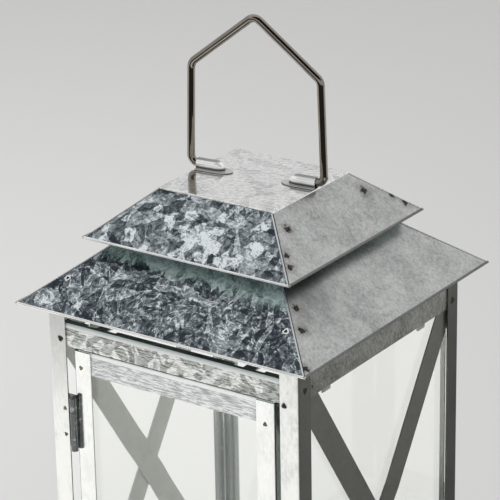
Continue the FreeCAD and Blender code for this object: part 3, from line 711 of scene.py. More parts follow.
@dataclass(frozen=True)
class DrawnZinc(Finish):
    """Bright frame sheet with short drawing streaks along one direction."""

    lengthways: Triple
    crossways: Triple
    pale: Colour
    grey: Colour
    streak: float
    stretch: float
    patches: float = 0.0
    spread: float = 1.0
    crest: Union[float, None] = None
    rough: Band = (0.25, 0.42)
    metallic: float = 0.85
    dash: Noise = Noise(1.0, 3.0, 0.7, 4.0)
    dash_pitch: Band = (0.95, 0.95)
    dash_band: Band = (0.44, 0.58)
    hair: Noise = Noise(1.0, 2.0, 0.6, 8.0)
    hair_pitch: Band = (0.5, 2.2)
    hair_band: Band = (0.42, 0.60)
    wear_shares: Band = (0.55, 0.45)
    wear_band: Band = (0.25, 0.75)
    cloud: Noise = Noise(0.05, 3.0, 0.6, 1.0)
    cloud_band: Band = (0.46, 0.66)
    cloud_share: float = 0.45
    crystals: CrystalLayer = CrystalLayer(14.0, 9.0, 3.6, 2.4)
    glint: Colour = (0.97, 0.97, 0.95)
    glint_shares: Triple = (0.5, 0.8, 0.3)
    glint_band: Band = (0.74, 0.86)
    glint_reach: float = 1.3
    line_band: Band = (0.42, 0.6)
    shaded: Colour = (0.045, 0.05, 0.045)
    flat_band: Band = (0.93, 0.99)
    bend_tone: Colour = (1.0, 1.0, 0.99)
    bend_steps: Band = (-0.3, 0.1)
    bend_matt: float = 0.8
    relief: Band = (0.03, 0.35)
    relief_shares: Band = (0.6, 0.4)

    def surface(self, graph: Graph) -> Signal:
        """Streaks, clouds and glints; a sheet with a crest has a painted highlight on the bend there and
        painted shade on its flat top.

        Args:
            graph: The material's graph.

        Returns:
            The shader.
        """
        u, v = (graph.along(axis) * (1 / self.spread) for axis in (self.lengthways, self.crossways))
        dash, hair = (
            graph.flat_noise(u * (pitch[0] / self.stretch), v * pitch[1], kind)
            for kind, pitch in ((self.dash, self.dash_pitch), (self.hair, self.hair_pitch))
        )
        cloud = graph.flat_noise(u, v, self.cloud)
        layer = self.crystals.build(graph, u, v)
        wear = weigh((dash.above(*self.dash_band), hair.above(*self.hair_band)), self.wear_shares)
        colour = graph.mix(wear.above(*self.wear_band) * self.streak, self.pale, self.grey)
        clouded = cloud.above(*self.cloud_band) * self.streak * self.cloud_share
        colour = graph.mix(clouded, colour, self.grey)
        glint = weigh((layer.tone, cloud, dash), self.glint_shares).above(*self.glint_band)
        glint = glint.math("MAXIMUM", layer.lines * cloud.above(*self.line_band))
        colour = graph.mix(glint * (self.glint_reach - wear) * self.patches, colour, self.glint)
        metallic = self.metallic
        # Painted highlight along the crest's bend, made less metallic to catch the lamps, and painted shade
        # on the flat top
        if self.crest:
            flat = graph.facing(Z_AXIS).above(*self.flat_band)
            bend = graph.along(Z_AXIS).above(*(self.crest + step for step in self.bend_steps))
            bend = bend * (1.0 - flat)
            colour = graph.mix(bend, colour, self.bend_tone)
            colour = graph.mix(flat, colour, self.shaded)
            metallic = self.metallic - bend * self.bend_matt
        relief = graph.bump(weigh((dash, hair), self.relief_shares), *self.relief)
        return graph.metal(colour, mix_number(dash, *self.rough), metallic, relief)


@dataclass(frozen=True)
class AngleZinc(Finish):
    """Corner angle whose two flanges take different tones: painted light on one flange and painted shade on
    the other, for how each is lit.
    """

    split_at: float
    split_soft: float
    front_tone: Colour = (0.93, 0.935, 0.90)
    side_tone: Colour = (0.20, 0.20, 0.185)
    rough: Band = (0.18, 0.32)
    metallic: float = 0.9
    mottle: float = 0.5
    scorches: tuple[Scorch, ...] = ()
    smudges: tuple[Scorch, ...] = ()
    inward: Union[Triple, None] = None
    inner_tone: Colour = (0.86, 0.87, 0.85)
    inner_band: Band = (0.4, 0.6)
    grain: Noise = Noise(0.5, 4.0, 0.65, 6.0)
    grain_pitch: float = 0.4
    cloud: Noise = Noise(0.06, 3.0, 0.6, 2.0)
    cloud_pitch: float = 0.7
    spots: Noise = Noise(0.9, 3.0, 0.7, 9.0)
    spot_band: Band = (0.55, 0.72)
    shade_shares: Band = (0.5, 0.5)
    shade_band: Band = (0.44, 0.62)
    mottle_shares: Band = (0.8, 0.5)
    dull: float = 0.55
    side_dull: float = 0.7
    side_share: float = 0.5
    relief: Band = (0.03, 0.3)

    def surface(self, graph: Graph) -> Signal:
        """Two painted tones, light and shade, that part along the corner, mottled, with painted shadows and
        burns.

        Args:
            graph: The material's graph.

        Returns:
            The shader.
        """
        x, y, z = (graph.along(axis) for axis in (X_AXIS, Y_AXIS, Z_AXIS))
        around = x + y
        grain = graph.flat_noise(around, z * self.grain_pitch, self.grain)
        cloud = graph.flat_noise(around, z * self.cloud_pitch, self.cloud)
        spots = graph.flat_noise(around, z, self.spots).above(*self.spot_band)
        side = y.above(self.split_at, self.split_at + self.split_soft)
        # Painted light and painted shade: each flange takes a tone for how it is lit
        colour = graph.mix(side, self.front_tone, self.side_tone)
        dull = scaled(self.front_tone, self.dull)
        shade = weigh((grain, cloud), self.shade_shares).above(*self.shade_band)
        mottle = weigh((shade, spots), self.mottle_shares) * (1.0 - side) * self.mottle
        colour = graph.mix(mottle, colour, dull)
        # Painted shadows on the post
        colour = smear(graph, colour, cloud, self.smudges, dull)
        side_dull = scaled(self.side_tone, self.side_dull)
        colour = graph.mix(shade * side * self.side_share, colour, side_dull)
        # Painted light on the faces that look inward
        if self.inward:
            inner = graph.facing(self.inward).above(*self.inner_band)
            colour = graph.mix(inner, colour, self.inner_tone)
        colour, rough = burn(graph, colour, mix_number(grain, *self.rough), self.scorches)
        return graph.metal(colour, rough, self.metallic, graph.bump(grain, *self.relief))


# Painted reflection and shade on a pressing: height up it and how bright it is painted there, both as shares
PRESSING_PAINTED_LIGHT = (
    (0.02, 0.05), (0.10, 0.75), (0.15, 0.06), (0.30, 0.12),
    (0.44, 1.0), (0.80, 1.0), (0.93, 0.30), (1.0, 0.22),
)


@dataclass(frozen=True)
class WornMetal(Finish):
    """Metal that varies all through a piece, with a second tone where it is worn."""

    tone: Colour
    worn: Union[Colour, None]
    metallic: float
    rough: Band
    relief: Band
    wear: Noise
    wear_band: Band
    grain: Noise
    wear_share: float = 1.0
    rough_shares: Band = (1.0, 0.0)
    dull_tone: float = 0.82
    # Foot and rise of a pressing, for its painted reflection and shade by height
    foot_and_rise: Union[Band, None] = None

    def surface(self, graph: Graph) -> Signal:
        """Two tones by wear; a pressing also has painted reflection and shade by its height.

        Args:
            graph: The material's graph.

        Returns:
            The shader.
        """
        wear, grain = graph.solid_noise(self.wear), graph.solid_noise(self.grain)
        worn = self.worn or scaled(self.tone, self.dull_tone)
        colour = graph.mix(wear.above(*self.wear_band) * self.wear_share, self.tone, worn)
        if self.foot_and_rise:
            foot, rise = self.foot_and_rise
            height = (graph.along(Z_AXIS) - foot) * (1 / rise)
            stops = [(share, (grey, grey, grey)) for share, grey in PRESSING_PAINTED_LIGHT]
            colour = graph.mix(1.0, colour, graph.ramp(height, stops), "MULTIPLY")
        rough = mix_number(weigh((grain, wear), self.rough_shares), *self.rough)
        return graph.metal(colour, rough, self.metallic, graph.bump(grain, *self.relief))


@dataclass(frozen=True)
class BrightWire(WornMetal):
    """Nickel-plated wire and pressings under a faint haze."""

    tone: Colour = (0.60, 0.57, 0.53)
    worn: Union[Colour, None] = None
    metallic: float = 1.0
    rough: Band = (0.06, 0.16)
    relief: Band = (0.015, 0.2)
    wear: Noise = Noise(45.0, 3.0, 0.6)
    wear_band: Band = (0.4, 0.7)
    grain: Noise = Noise(260.0, 4.0, 0.6)
    rough_shares: Band = (0.6, 0.4)


@dataclass(frozen=True)
class BlackenedSteel(WornMetal):
    """Dark oiled steel of the hinges, rubbed bright in places."""

    tone: Colour = (0.13, 0.136, 0.138)
    worn: Union[Colour, None] = (0.50, 0.51, 0.51)
    metallic: float = 0.9
    rough: Band = (0.14, 0.3)
    relief: Band = (0.02, 0.3)
    wear: Noise = Noise(240.0, 4.0, 0.65)
    wear_band: Band = (0.52, 0.72)
    grain: Noise = Noise(900.0, 3.0, 0.6)
    wear_share: float = 0.8


@dataclass(frozen=True)
class WeldScale(WornMetal):
    """Burnt or rusty crust of a weld mark, with spatter as its second tone."""

    metallic: float = 0.2
    rough: Band = (0.45, 0.8)
    relief: Band = (0.15, 0.6)
    wear: Noise = Noise(900.0, 3.0, 0.6)
    wear_band: Band = (0.45, 0.7)
    grain: Noise = Noise(900.0, 3.0, 0.6)


@dataclass(frozen=True)
class ClearGlass(Finish):
    """Float glass with a faint green tint that lets light through to what is behind it."""

    tint: Colour = (0.985, 0.99, 0.968)
    passed: Colour = (0.96, 0.97, 0.965)
    haze: Noise = Noise(18.0, 3.0, 0.6)
    haze_band: Band = (0.5, 0.8)
    haze_rough: float = 0.03
    bending: float = 1.45

    def surface(self, graph: Graph) -> Signal:
        """Glass for what is seen, and a clear pass for shadow and diffuse rays.

        Args:
            graph: The material's graph.

        Returns:
            The shader.
        """
        rough = graph.solid_noise(self.haze).above(*self.haze_band) * self.haze_rough
        sockets = {"Base Color": (*self.tint, 1.0), "Roughness": rough, "IOR": self.bending}
        pane = graph.principled({**sockets, "Transmission Weight": 1.0})
        through = graph.add("ShaderNodeBsdfTransparent", sockets={"Color": (*self.passed, 1.0)})["BSDF"]
        path = graph.add("ShaderNodeLightPath")
        lit = path["Is Shadow Ray"].math("MAXIMUM", path["Is Diffuse Ray"])
        sockets = {"Fac": lit, "Shader": pane, "Shader_001": through}
        return graph.add("ShaderNodeMixShader", sockets=sockets)["Shader"]


def dress(finish: Finish, *nodes: str) -> None:
    """Give CAD nodes a finish.

    Args:
        finish: The finish.
        nodes: Names of the nodes.
    """
    material = finish.build()
    for name in nodes:
        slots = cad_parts[name].data.materials
        slots.clear()
        slots.append(material)
        LOG.info("dressed %s in %s", name, material.name)


def start_modelling() -> None:
    """Leave edit mode and deselect everything."""
    if bpy.context.object and bpy.context.object.mode != "OBJECT":
        bpy.ops.object.mode_set(mode="OBJECT")
    bpy.ops.object.select_all(action="DESELECT")


def pick_faces(piece: bpy.types.Object, wanted: Callable[[bpy.types.MeshPolygon], bool]) -> None:
    """Select faces of a piece in edit mode by a test.

    Args:
        piece: The piece being modelled.
        wanted: Test on a face's centre and normal.
    """
    bpy.ops.object.mode_set(mode="EDIT")
    bpy.ops.mesh.select_mode(type="FACE")
    bpy.ops.mesh.select_all(action="DESELECT")
    bpy.ops.object.mode_set(mode="OBJECT")
    for face in piece.data.polygons:
        face.select = wanted(face)
    bpy.ops.object.mode_set(mode="EDIT")


def settle(piece: bpy.types.Object, name: str, body: str, slot: str, *finishes: Finish) -> None:
    """Name a finished piece, put its place into its mesh, dress it and let it ride.

    Args:
        piece: The piece.
        name: Its name.
        body: The body that carries it.
        slot: The record's material slot; not used.
        finishes: Its finishes, if it has none yet.
    """
    if bpy.context.object.mode != "OBJECT":
        bpy.ops.object.mode_set(mode="OBJECT")
    piece.data.transform(piece.matrix_world)
    piece.matrix_world = Matrix.Identity(4)
    piece.name = name
    piece.data.name = name
    for finish in finishes:
        piece.data.materials.append(finish.build())
    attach(piece, body)
    LOG.info("modelled %s", name)


class Tier(Enum):
    """The two tiers of the roof."""

    LOWER = "lower_roof"
    UPPER = "upper_roof"


class Burn(Enum):
    """How a weld mark looks."""

    BLACK = "burnt_weld"
    RUSTY = "rusty_weld"
    BRIGHT = "bright_weld"


@dataclass(frozen=True)
class Weld:
    """One weld mark on a sheet: where it is, how wide, and how it looks."""

    right_mm: float
    up_mm: float
    radius_mm: float
    burn: Burn = Burn.BLACK


# Weld marks: distance right of a side's middle, height up the slope or over the floor, radius
LOWER_SIDE_WELDS = (Weld(-67.9, 38.1, 2.3), Weld(-77.5, 24.8, 2.4), Weld(-98.3, 4.5, 2.2))
LOWER_FACE_WELDS = (Weld(-79.2, 24.9, 1.9, Burn.BRIGHT), Weld(78.9, 25.8, 2.0, Burn.BRIGHT))
UPPER_SIDE_WELDS = (
    Weld(-40.2, 30.9, 2.4),
    Weld(-57.4, 17.3, 1.9),
    Weld(-62.3, 9.8, 2.2),
    Weld(41.4, 29.2, 2.6),
    Weld(60.0, 17.6, 1.9),
    Weld(65.3, 9.7, 2.1),
)
FRAME_FACE_WELDS = (Weld(-82.2, 269.7, 1.9), Weld(81.5, 264.7, 1.7))
# Core and halo of the stain round each weld of the front posts
FRAME_FACE_STAINS = ((1.2, 3.2), (0.8, 3.4))
FRAME_SIDE_WELDS = (Weld(-84.5, 274.0, 2.0), Weld(83.8, 271.2, 2.2))
DOOR_WELDS = (Weld(-67.2, 253.4, 1.4, Burn.RUSTY), Weld(68.0, 249.6, 1.4, Burn.RUSTY))
HINGE_WELD_SHARES = (0.22, 0.715)
HINGE_WELD_RIGHT = -81.2
HINGE_WELD_RADIUS = 1.3
CORNER_STAIN = (-75.5, 272.5)
CORNER_STAIN_REACH = (1.8, 8.0)
# Core and halo of a stain on the roof, and the crust in it, for a weld of unit radius
STAIN_REACH = (1.3, 3.2)
CRUST_SHARE = 0.65
LEVELS = ("upper", "lower")

# Bright patches of the upper front and back sheets
UPPER_BLOTS = (
    Blot(-9.0, 19.5, 6.0), Blot(1.0, 18.0, 8.0), Blot(12.0, 16.5, 6.0), Blot(14.5, 23.0, 3.6),
    Blot(14.0, 38.0, 4.8), Blot(21.0, 35.5, 4.4), Blot(-11.5, 30.0, 5.0), Blot(-22.5, 24.5, 4.2),
    Blot(-43.5, 11.5, 6.0), Blot(39.0, 33.0, 5.4), Blot(43.0, 20.0, 5.4), Blot(-5.5, 6.5, 6.5),
    Blot(8.5, 6.0, 5.0), Blot(26.5, 6.5, 6.5), Blot(35.0, 8.5, 5.0), Blot(-29.5, 3.5, 3.8),
    Blot(-36.0, 30.5, 3.6), Blot(14.0, 11.0, 5.0), Blot(-60.0, 3.0, 3.4), Blot(-52.0, 20.0, 3.4),
)


@dataclass
class RoofSlope:
    """One sheet of a tier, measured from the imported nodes, in metres."""

    tier: Tier
    side: Side

    def __post_init__(self) -> None:
        """Find the eave, the upper edge, the sheet's directions and its weld marks."""
        self.node = f"{self.tier.value}_{self.side.word}"
        box, plate, bracket = (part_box(name) for name in (self.node, "top_plate", "roof_bracket_right"))
        lower = self.tier is Tier.LOWER
        eave = box[0].z
        self.half = max(abs(corner.dot(self.side.outward)) for corner in box)
        self.top = box[1].z if lower else plate[0].z
        self.rim = bracket[0].x if lower else plate[1].x
        run, rise = self.half - self.rim, self.top - eave
        self.lean = run / math.hypot(run, rise)
        self.foot = self.side.outward * self.half + Vector((0, 0, eave))
        self.upward = (Vector((0, 0, rise)) - self.side.outward * run).normalized()
        self.normal = self.side.rightward.cross(self.upward)
        face, flank = (LOWER_FACE_WELDS, LOWER_SIDE_WELDS) if lower else ((), UPPER_SIDE_WELDS)
        self.welds = face if self.side.spangled else flank

    def spot(self, right_mm: float, up_mm: float) -> Vector:
        """Point on the sheet, from distances right of the eave's middle and up the slope."""
        return self.foot + self.side.rightward * (right_mm * MM) + self.upward * (up_mm * MM)

    def scorch(self, weld: Weld) -> Scorch:
        """Burn round a weld on the sheet."""
        core, halo = (share * weld.radius_mm for share in STAIN_REACH)
        return Scorch(tuple(self.spot(weld.right_mm, weld.up_mm) / MM), core, halo)


def seat(point: Vector, normal: Vector, across: Vector) -> Matrix:
    """Frame on a sheet: its Z axis along the sheet's normal.

    Args:
        point: Where the frame sits, in metres.
        normal: Direction out of the sheet.
        across: A direction in the sheet.

    Returns:
        The frame as a matrix.
    """
    upward = normal.cross(across)
    rotation = Matrix((across, upward, normal)).transposed().to_4x4()
    return Matrix.Translation(point) @ rotation


@dataclass
class WeldMarks:
    """Small crusts left by the welding tongs, modelled once and copied."""

    sides: int = 16
    edge: float = 0.02
    lip_width: float = 0.28
    lip_rise: float = 0.05
    pit_width: float = 0.16
    pit_drop: float = 0.03
    swells: tuple[Triple, ...] = ((0.16, 3, 0.6), (0.09, 7, 0.0))
    spin_step: float = 1.3

    def __post_init__(self) -> None:
        """Make the crusts' finishes and their shape."""
        burnt = WeldScale("burnt_weld", (0.010, 0.009, 0.008), (0.055, 0.045, 0.037)).build()
        rusty = WeldScale("rusty_weld", (0.05, 0.03, 0.018), (0.34, 0.27, 0.18)).build()
        bright = WeldScale("bright_weld", (0.95, 0.96, 0.97), (0.62, 0.63, 0.64), metallic=0.5).build()
        pit = WeldScale("weld_pit", (0.010, 0.010, 0.010), (0.05, 0.045, 0.04)).build()
        dimple = WeldScale("weld_dimple", (0.17, 0.13, 0.085), (0.45, 0.40, 0.32)).build()
        self.materials = {Burn.BLACK: (burnt, pit), Burn.RUSTY: (rusty, dimple), Burn.BRIGHT: (bright, pit)}
        self.pattern = self.model()

    def model(self) -> bpy.types.Mesh:
        """Model one crust of unit radius, lying on the XY plane.

        Returns:
            Its mesh.
        """
        start_modelling()
        bpy.ops.mesh.primitive_circle_add(vertices=self.sides, radius=1.0, fill_type="NGON")
        piece = bpy.context.object
        bpy.ops.object.mode_set(mode="EDIT")
        bpy.ops.mesh.select_all(action="SELECT")
        bpy.ops.mesh.extrude_region_move(TRANSFORM_OT_translate={"value": (0, 0, self.edge)})
        for width, rise in ((self.lip_width, self.lip_rise), (self.pit_width, -self.pit_drop)):
            bpy.ops.mesh.inset(thickness=width, depth=0.0)
            bpy.ops.transform.translate(value=(0, 0, rise))
        bpy.ops.object.mode_set(mode="OBJECT")
        for face in piece.data.polygons:
            face.material_index = int(face.select)
        bpy.ops.object.mode_set(mode="EDIT")
        bpy.ops.mesh.select_all(action="SELECT")
        bpy.ops.mesh.normals_make_consistent(inside=False)
        bpy.ops.object.mode_set(mode="OBJECT")
        for vertex in piece.data.vertices:
            angle = math.atan2(vertex.co.y, vertex.co.x)
            swell = 1 + sum(size * math.sin(lobes * angle + turn) for size, lobes, turn in self.swells)
            vertex.co.x *= swell
            vertex.co.y *= swell
        mesh = piece.data.copy()
        bpy.data.objects.remove(piece)
        return mesh

    def set_upright(self, name: str, side: Side, plane: float, body: str, welds: tuple[Weld, ...]) -> None:
        """Set marks on an upright face.

        Args:
            name: End of the pieces' names.
            side: The side that the face looks to.
            plane: Distance of the face from the lantern's middle in metres.
            body: The body that carries the marks.
            welds: The marks, with their heights.
        """
        spots = []
        for weld in welds:
            level = side.rightward * (weld.right_mm * MM) + Vector((0, 0, weld.up_mm * MM))
            place = seat(side.outward * plane + level, side.outward, side.rightward)
            spots.append((weld.burn, place, weld.radius_mm * MM))
        self.stamp(name, body, "galvanised_frame", spots)

    def set_on_slope(self, slope: RoofSlope) -> None:
        """Set the marks of a roof sheet, where a burnt one stands up over a part of its width only.

        Args:
            slope: The sheet.
        """
        spots = []
        for weld in slope.welds:
            place = seat(slope.spot(weld.right_mm, weld.up_mm), slope.normal, slope.side.rightward)
            share = CRUST_SHARE if weld.burn is Burn.BLACK else 1.0
            spots.append((weld.burn, place, weld.radius_mm * share * MM))
        self.stamp(slope.node, "lantern", "galvanised_roof", spots)

    def stamp(self, name: str, body: str, slot: str, spots: list[tuple[Burn, Matrix, float]]) -> None:
        """Set copies of the crust on a sheet, as one piece for each look.

        Args:
            name: End of the pieces' names.
            body: The body that carries them.
            slot: The record's material slot.
            spots: How each mark looks, where it sits, and its radius in metres.
        """
        for burn_kind in Burn:
            start_modelling()
            places = [(place, radius) for kind, place, radius in spots if kind is burn_kind]
            piece_name = f"{burn_kind.value}s_{name}"
            for index, (place, radius) in enumerate(places):
                mesh = self.pattern.copy()
                for material in self.materials[burn_kind]:
                    mesh.materials.append(material)
                spin = Matrix.Rotation(self.spin_step * index, 4, "Z")
                mesh.transform(place @ spin @ Matrix.Diagonal((radius, radius, radius, 1)))
                copy = bpy.data.objects.new(piece_name, mesh)
                bpy.context.scene.collection.objects.link(copy)
                copy.select_set(True)
                if index == 0:
                    bpy.context.view_layer.objects.active = copy
            if len(places) > 1:
                bpy.ops.object.join()
            if places:
                settle(bpy.context.view_layer.objects.active, piece_name, body, slot)


@dataclass
class Roof:
    """Two-tier roof: sheet finishes, folded eaves and hips, and weld marks."""

    marks: WeldMarks
    fold_radius: float = 0.85 * MM
    hip_radius: float = 0.55 * MM
    fold_sides: int = 12
    fold_rough: Band = (0.2, 0.35)
    eave_set: Band = (-0.6, 0.35)
    # Painted highlight on the front and back eave folds, painted shade on the side ones
    eave_pale: Colour = (0.92, 0.92, 0.91)
    eave_dark: Colour = (0.20, 0.20, 0.195)
    hip_drop: float = 0.35
    hip_tone: Colour = (0.62, 0.64, 0.64)
    end_facing: float = 0.9
    end_inset: Band = (0.4, 0.3)
    smooth_angle: float = 40.0
    # Painted shadow of the upper tier on the lower side sheets: its middle, right and up the slope, then its
    # core and reach, in millimetres
    smudge_spot: Band = (-50, 52)
    smudge_reach: Band = (6.0, 46.0)

    def build(self) -> None:
        """Dress the sheets and model what lies on them."""
        for tier in Tier:
            for side in Side:
                slope = RoofSlope(tier, side)
                dress(self.sheet_finish(slope), slope.node)
                self.fold_eave(slope)
                self.fold_hip(slope)
                self.marks.set_on_slope(slope)
        dress(self.plate_finish(), "top_plate")
        brackets = MattZinc("bracket_zinc", X_AXIS, Z_AXIS, tone=(0.42, 0.43, 0.43))
        dress(brackets, *(f"roof_bracket_{side.word}" for side in Side))

    def sheet_finish(self, slope: RoofSlope) -> Finish:
        """Finish of one roof sheet.

        Args:
            slope: The sheet.

        Returns:
            Spangled finish for front and back, matt for the sides.
        """
        foot = slope.foot.dot(slope.upward) / MM
        plane = (f"{slope.node}_zinc", tuple(slope.side.rightward), tuple(slope.upward))
        lower = slope.tier is Tier.LOWER
        # Front and back sheets are dressed dark and spangled, the sides light and matt: partly the zinc's
        # own look, partly painted light and shade for how each side is lit
        if slope.side.spangled and lower:
            # Lower front and back sheets: painted shade and reflection of the upper roof from 46 mm up the
            # slope
            return SpangledZinc(*plane, foot, level=0.215, sheltered=46.0)
        if slope.side.spangled:
            return SpangledZinc(*plane, foot, level=0.38, veins=0.22, grain=1.0, blots=UPPER_BLOTS)
        # Painted shadow of the upper tier near the front hip of the lower side sheets
        painted_shadow = Scorch(tuple(slope.spot(*self.smudge_spot) / MM), *self.smudge_reach)
        return MattZinc(
            *plane,
            tone=(0.43, 0.436, 0.426),
            depth=0.34,
            rough=(0.24, 0.38),
            # Painted reflection: teal undersides that the sheet below mirrors
            underside=(0.30, 0.42, 0.41),
            scorches=tuple(slope.scorch(weld) for weld in slope.welds),
            smudges=(painted_shadow,) if lower else (),
            hips=Hips(slope.half / MM, foot, slope.lean),
        )

    @staticmethod
    def plate_finish() -> DrawnZinc:
        """Finish of the flat plate on top.

        Returns:
            The finish.
        """
        return DrawnZinc(
            "plate_zinc",
            lengthways=(0.82, 0.57, 0),
            crossways=(-0.57, 0.82, 0),
            pale=(0.86, 0.87, 0.86),
            grey=(0.42, 0.43, 0.43),
            streak=0.7,
            patches=0.8,
            spread=2.2,
            stretch=1.3,
            rough=(0.06, 0.2),
            metallic=1.0,
        )

    def fold_eave(self, slope: RoofSlope) -> None:
        """Model the rounded nose of the hem along one eave.

        Args:
            slope: The sheet.
        """
        out, up = (share * self.fold_radius for share in self.eave_set)
        middle = slope.foot + slope.side.outward * out + Vector((0, 0, up))
        reach = slope.side.rightward * slope.half
        piece = self.round_fold(middle - reach, middle + reach, self.fold_radius)
        # Painted highlight on the front and back eave folds, painted shade on the side ones
        tone = self.eave_pale if slope.side.spangled else self.eave_dark
        finish = BrightWire(f"eave_{slope.node}", tone, rough=self.fold_rough)
        settle(piece, f"eave_fold_{slope.node}", "lantern", "galvanised_roof", finish)

    def fold_hip(self, slope: RoofSlope) -> None:
        """Model the folded lip along the right-hand hip of a sheet.

        Args:
            slope: The sheet.
        """
        foot = slope.foot + slope.side.rightward * slope.half
        corner = slope.side.outward + slope.side.rightward
        top = corner * slope.rim + Vector((0, 0, slope.top))
        along = (top - foot).normalized()
        if slope.side.spangled:
            inward = -slope.side.rightward
        else:
            inward = slope.side.next_right.rightward
        shift = inward * self.hip_radius + Vector((0, 0, -self.hip_drop * self.hip_radius))
        piece = self.round_fold(foot + along * self.fold_radius + shift, top + shift, self.hip_radius)
        finish = BrightWire(f"hip_{slope.node}", self.hip_tone, rough=self.fold_rough)
        settle(piece, f"hip_fold_{slope.node}", "lantern", "galvanised_roof", finish)

    def round_fold(self, start: Vector, end: Vector, radius: float) -> bpy.types.Object:
        """Model a straight rounded fold between two points.

        Args:
            start: One end, in metres.
            end: The other end.
            radius: Radius of the fold.

        Returns:
            The piece, with its place in its matrix.
        """
        start_modelling()
        run = end - start
        bpy.ops.mesh.primitive_cylinder_add(vertices=self.fold_sides, radius=radius, depth=run.length)
        piece = bpy.context.object
        pick_faces(piece, lambda face: abs(face.normal.z) > self.end_facing)
        width, depth = (share * radius for share in self.end_inset)
        bpy.ops.mesh.inset(thickness=width, depth=depth)
        bpy.ops.object.mode_set(mode="OBJECT")
        bpy.ops.object.shade_smooth_by_angle(angle=math.radians(self.smooth_angle))
        turn = run.to_track_quat("Z", "Y").to_matrix().to_4x4()
        piece.matrix_world = Matrix.Translation((start + end) / 2) @ turn
        return piece


@dataclass
class Body:
    """Posts, rails, straps, pan and panes."""

    marks: WeldMarks
    front_split: Band = (0.2, 0.6)
    back_split: Band = (-1.6, 1.0)
    # Height of the middle of the painted roof shadow on the left front post, in millimetres
    smudge_height: float = 292.0
    bend_drop: float = 2.6

    @property
    def half(self) -> float:
        """Distance of the frame's faces from the lantern's middle in millimetres."""
        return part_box("post_front_right")[1].x / MM

    def build(self) -> None:
        """Dress the frame and set its weld marks."""
        self.dress_posts()
        self.dress_rails()
        # Straps: painted shade on the right side, a lighter painted tone on the left, for how each side is
        # lit
        for side, tone in (("right", (0.20, 0.20, 0.185)), ("left", (0.46, 0.47, 0.45))):
            strap = MattZinc(f"strap_{side}_zinc", Y_AXIS, Z_AXIS, tone, depth=0.15)
            dress(strap, f"brace_{side}_outer", f"brace_{side}_inner")
        pan = MattZinc("pan_zinc", (1, 0.4, 0), (0, 0.8, 1), tone=(0.55, 0.56, 0.56), depth=0.35)
        dress(pan, "base_pan")
        dress(ClearGlass("pane_glass"), "glass_left", "glass_right", "glass_back", "door_glass")
        self.set_welds()

    def dress_posts(self) -> None:
        """Dress the four corner posts."""
        half = self.half
        scorches = tuple(
            Scorch((weld.right_mm, -half, weld.up_mm), *reach)
            for weld, reach in zip(FRAME_FACE_WELDS, FRAME_FACE_STAINS)
        )
        # Front posts: painted light on the front flange, painted shade on the side flange, and a painted
        # shadow of the roof at the top of the left post
        painted_shadow = Scorch((-half, -half, self.smudge_height), core=12.0, halo=80.0)
        step, soft = self.front_split
        fronts = AngleZinc("front_post_zinc", step - half, soft, scorches=scorches, smudges=(painted_shadow,))
        dress(fronts, "post_front_left", "post_front_right")
        step, soft = self.back_split
        # Back posts: flange tones and the pale inward faces are painted light and shade for how each is lit
        backs = (
            ("left", (1, 0, 0), (0.15, 0.17, 0.163), (0.50, 0.57, 0.55)),
            ("right", (-1, 0, 0), (0.13, 0.131, 0.121), (0.62, 0.63, 0.61)),
        )
        for word, inward, front, side in backs:
            back = AngleZinc(f"back_post_{word}_zinc", step + half, soft, front, side, inward=inward)
            dress(back, f"post_back_{word}")

    def dress_rails(self) -> None:
        """Dress the rails at the top and bottom of the four windows."""
        # Header and sill: painted highlight on the top bend and painted shade on flat tops
        header = DrawnZinc(
            "header_zinc",
            lengthways=X_AXIS,
            crossways=(0, 0.4, 1),
            pale=(0.60, 0.62, 0.59),
            grey=(0.125, 0.133, 0.123),
            streak=0.9,
            patches=0.95,
            stretch=6.0,
            crest=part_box("header_rail")[1].z / MM - self.bend_drop,
        )
        dress(header, "header_rail", "sill_rail")
        corner = Scorch((self.half, *CORNER_STAIN), *CORNER_STAIN_REACH)
        # Side rails: a dark tone that is painted shade of the side faces
        tone = (0.25, 0.255, 0.235)
        sides = MattZinc("side_rail_zinc", Y_AXIS, Z_AXIS, tone, depth=0.65, scorches=(corner,))
        dress(sides, "top_rail_right", "bottom_rail_right", "top_rail_left", "bottom_rail_left")
        back = MattZinc("back_rail_zinc", X_AXIS, Z_AXIS, tone=(0.55, 0.56, 0.55))
        dress(back, "top_rail_back", "bottom_rail_back")

    def set_welds(self) -> None:
        """Set the weld marks of the frame and of the hinges' fixed leaves."""
        plane = self.half * MM
        for side in Side:
            welds = FRAME_FACE_WELDS if side.spangled else FRAME_SIDE_WELDS
            self.marks.set_upright(f"frame_{side.word}", side, plane, "lantern", welds)
        for level in LEVELS:
            low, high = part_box(f"hinge_{level}_frame_leaf")
            heights = [(low.z + share * (high.z - low.z)) / MM for share in HINGE_WELD_SHARES]
            welds = tuple(
                Weld(HINGE_WELD_RIGHT, height, HINGE_WELD_RADIUS, Burn.RUSTY) for height in heights
            )
            self.marks.set_upright(f"hinge_{level}", Side.FRONT, plane, "lantern", welds)


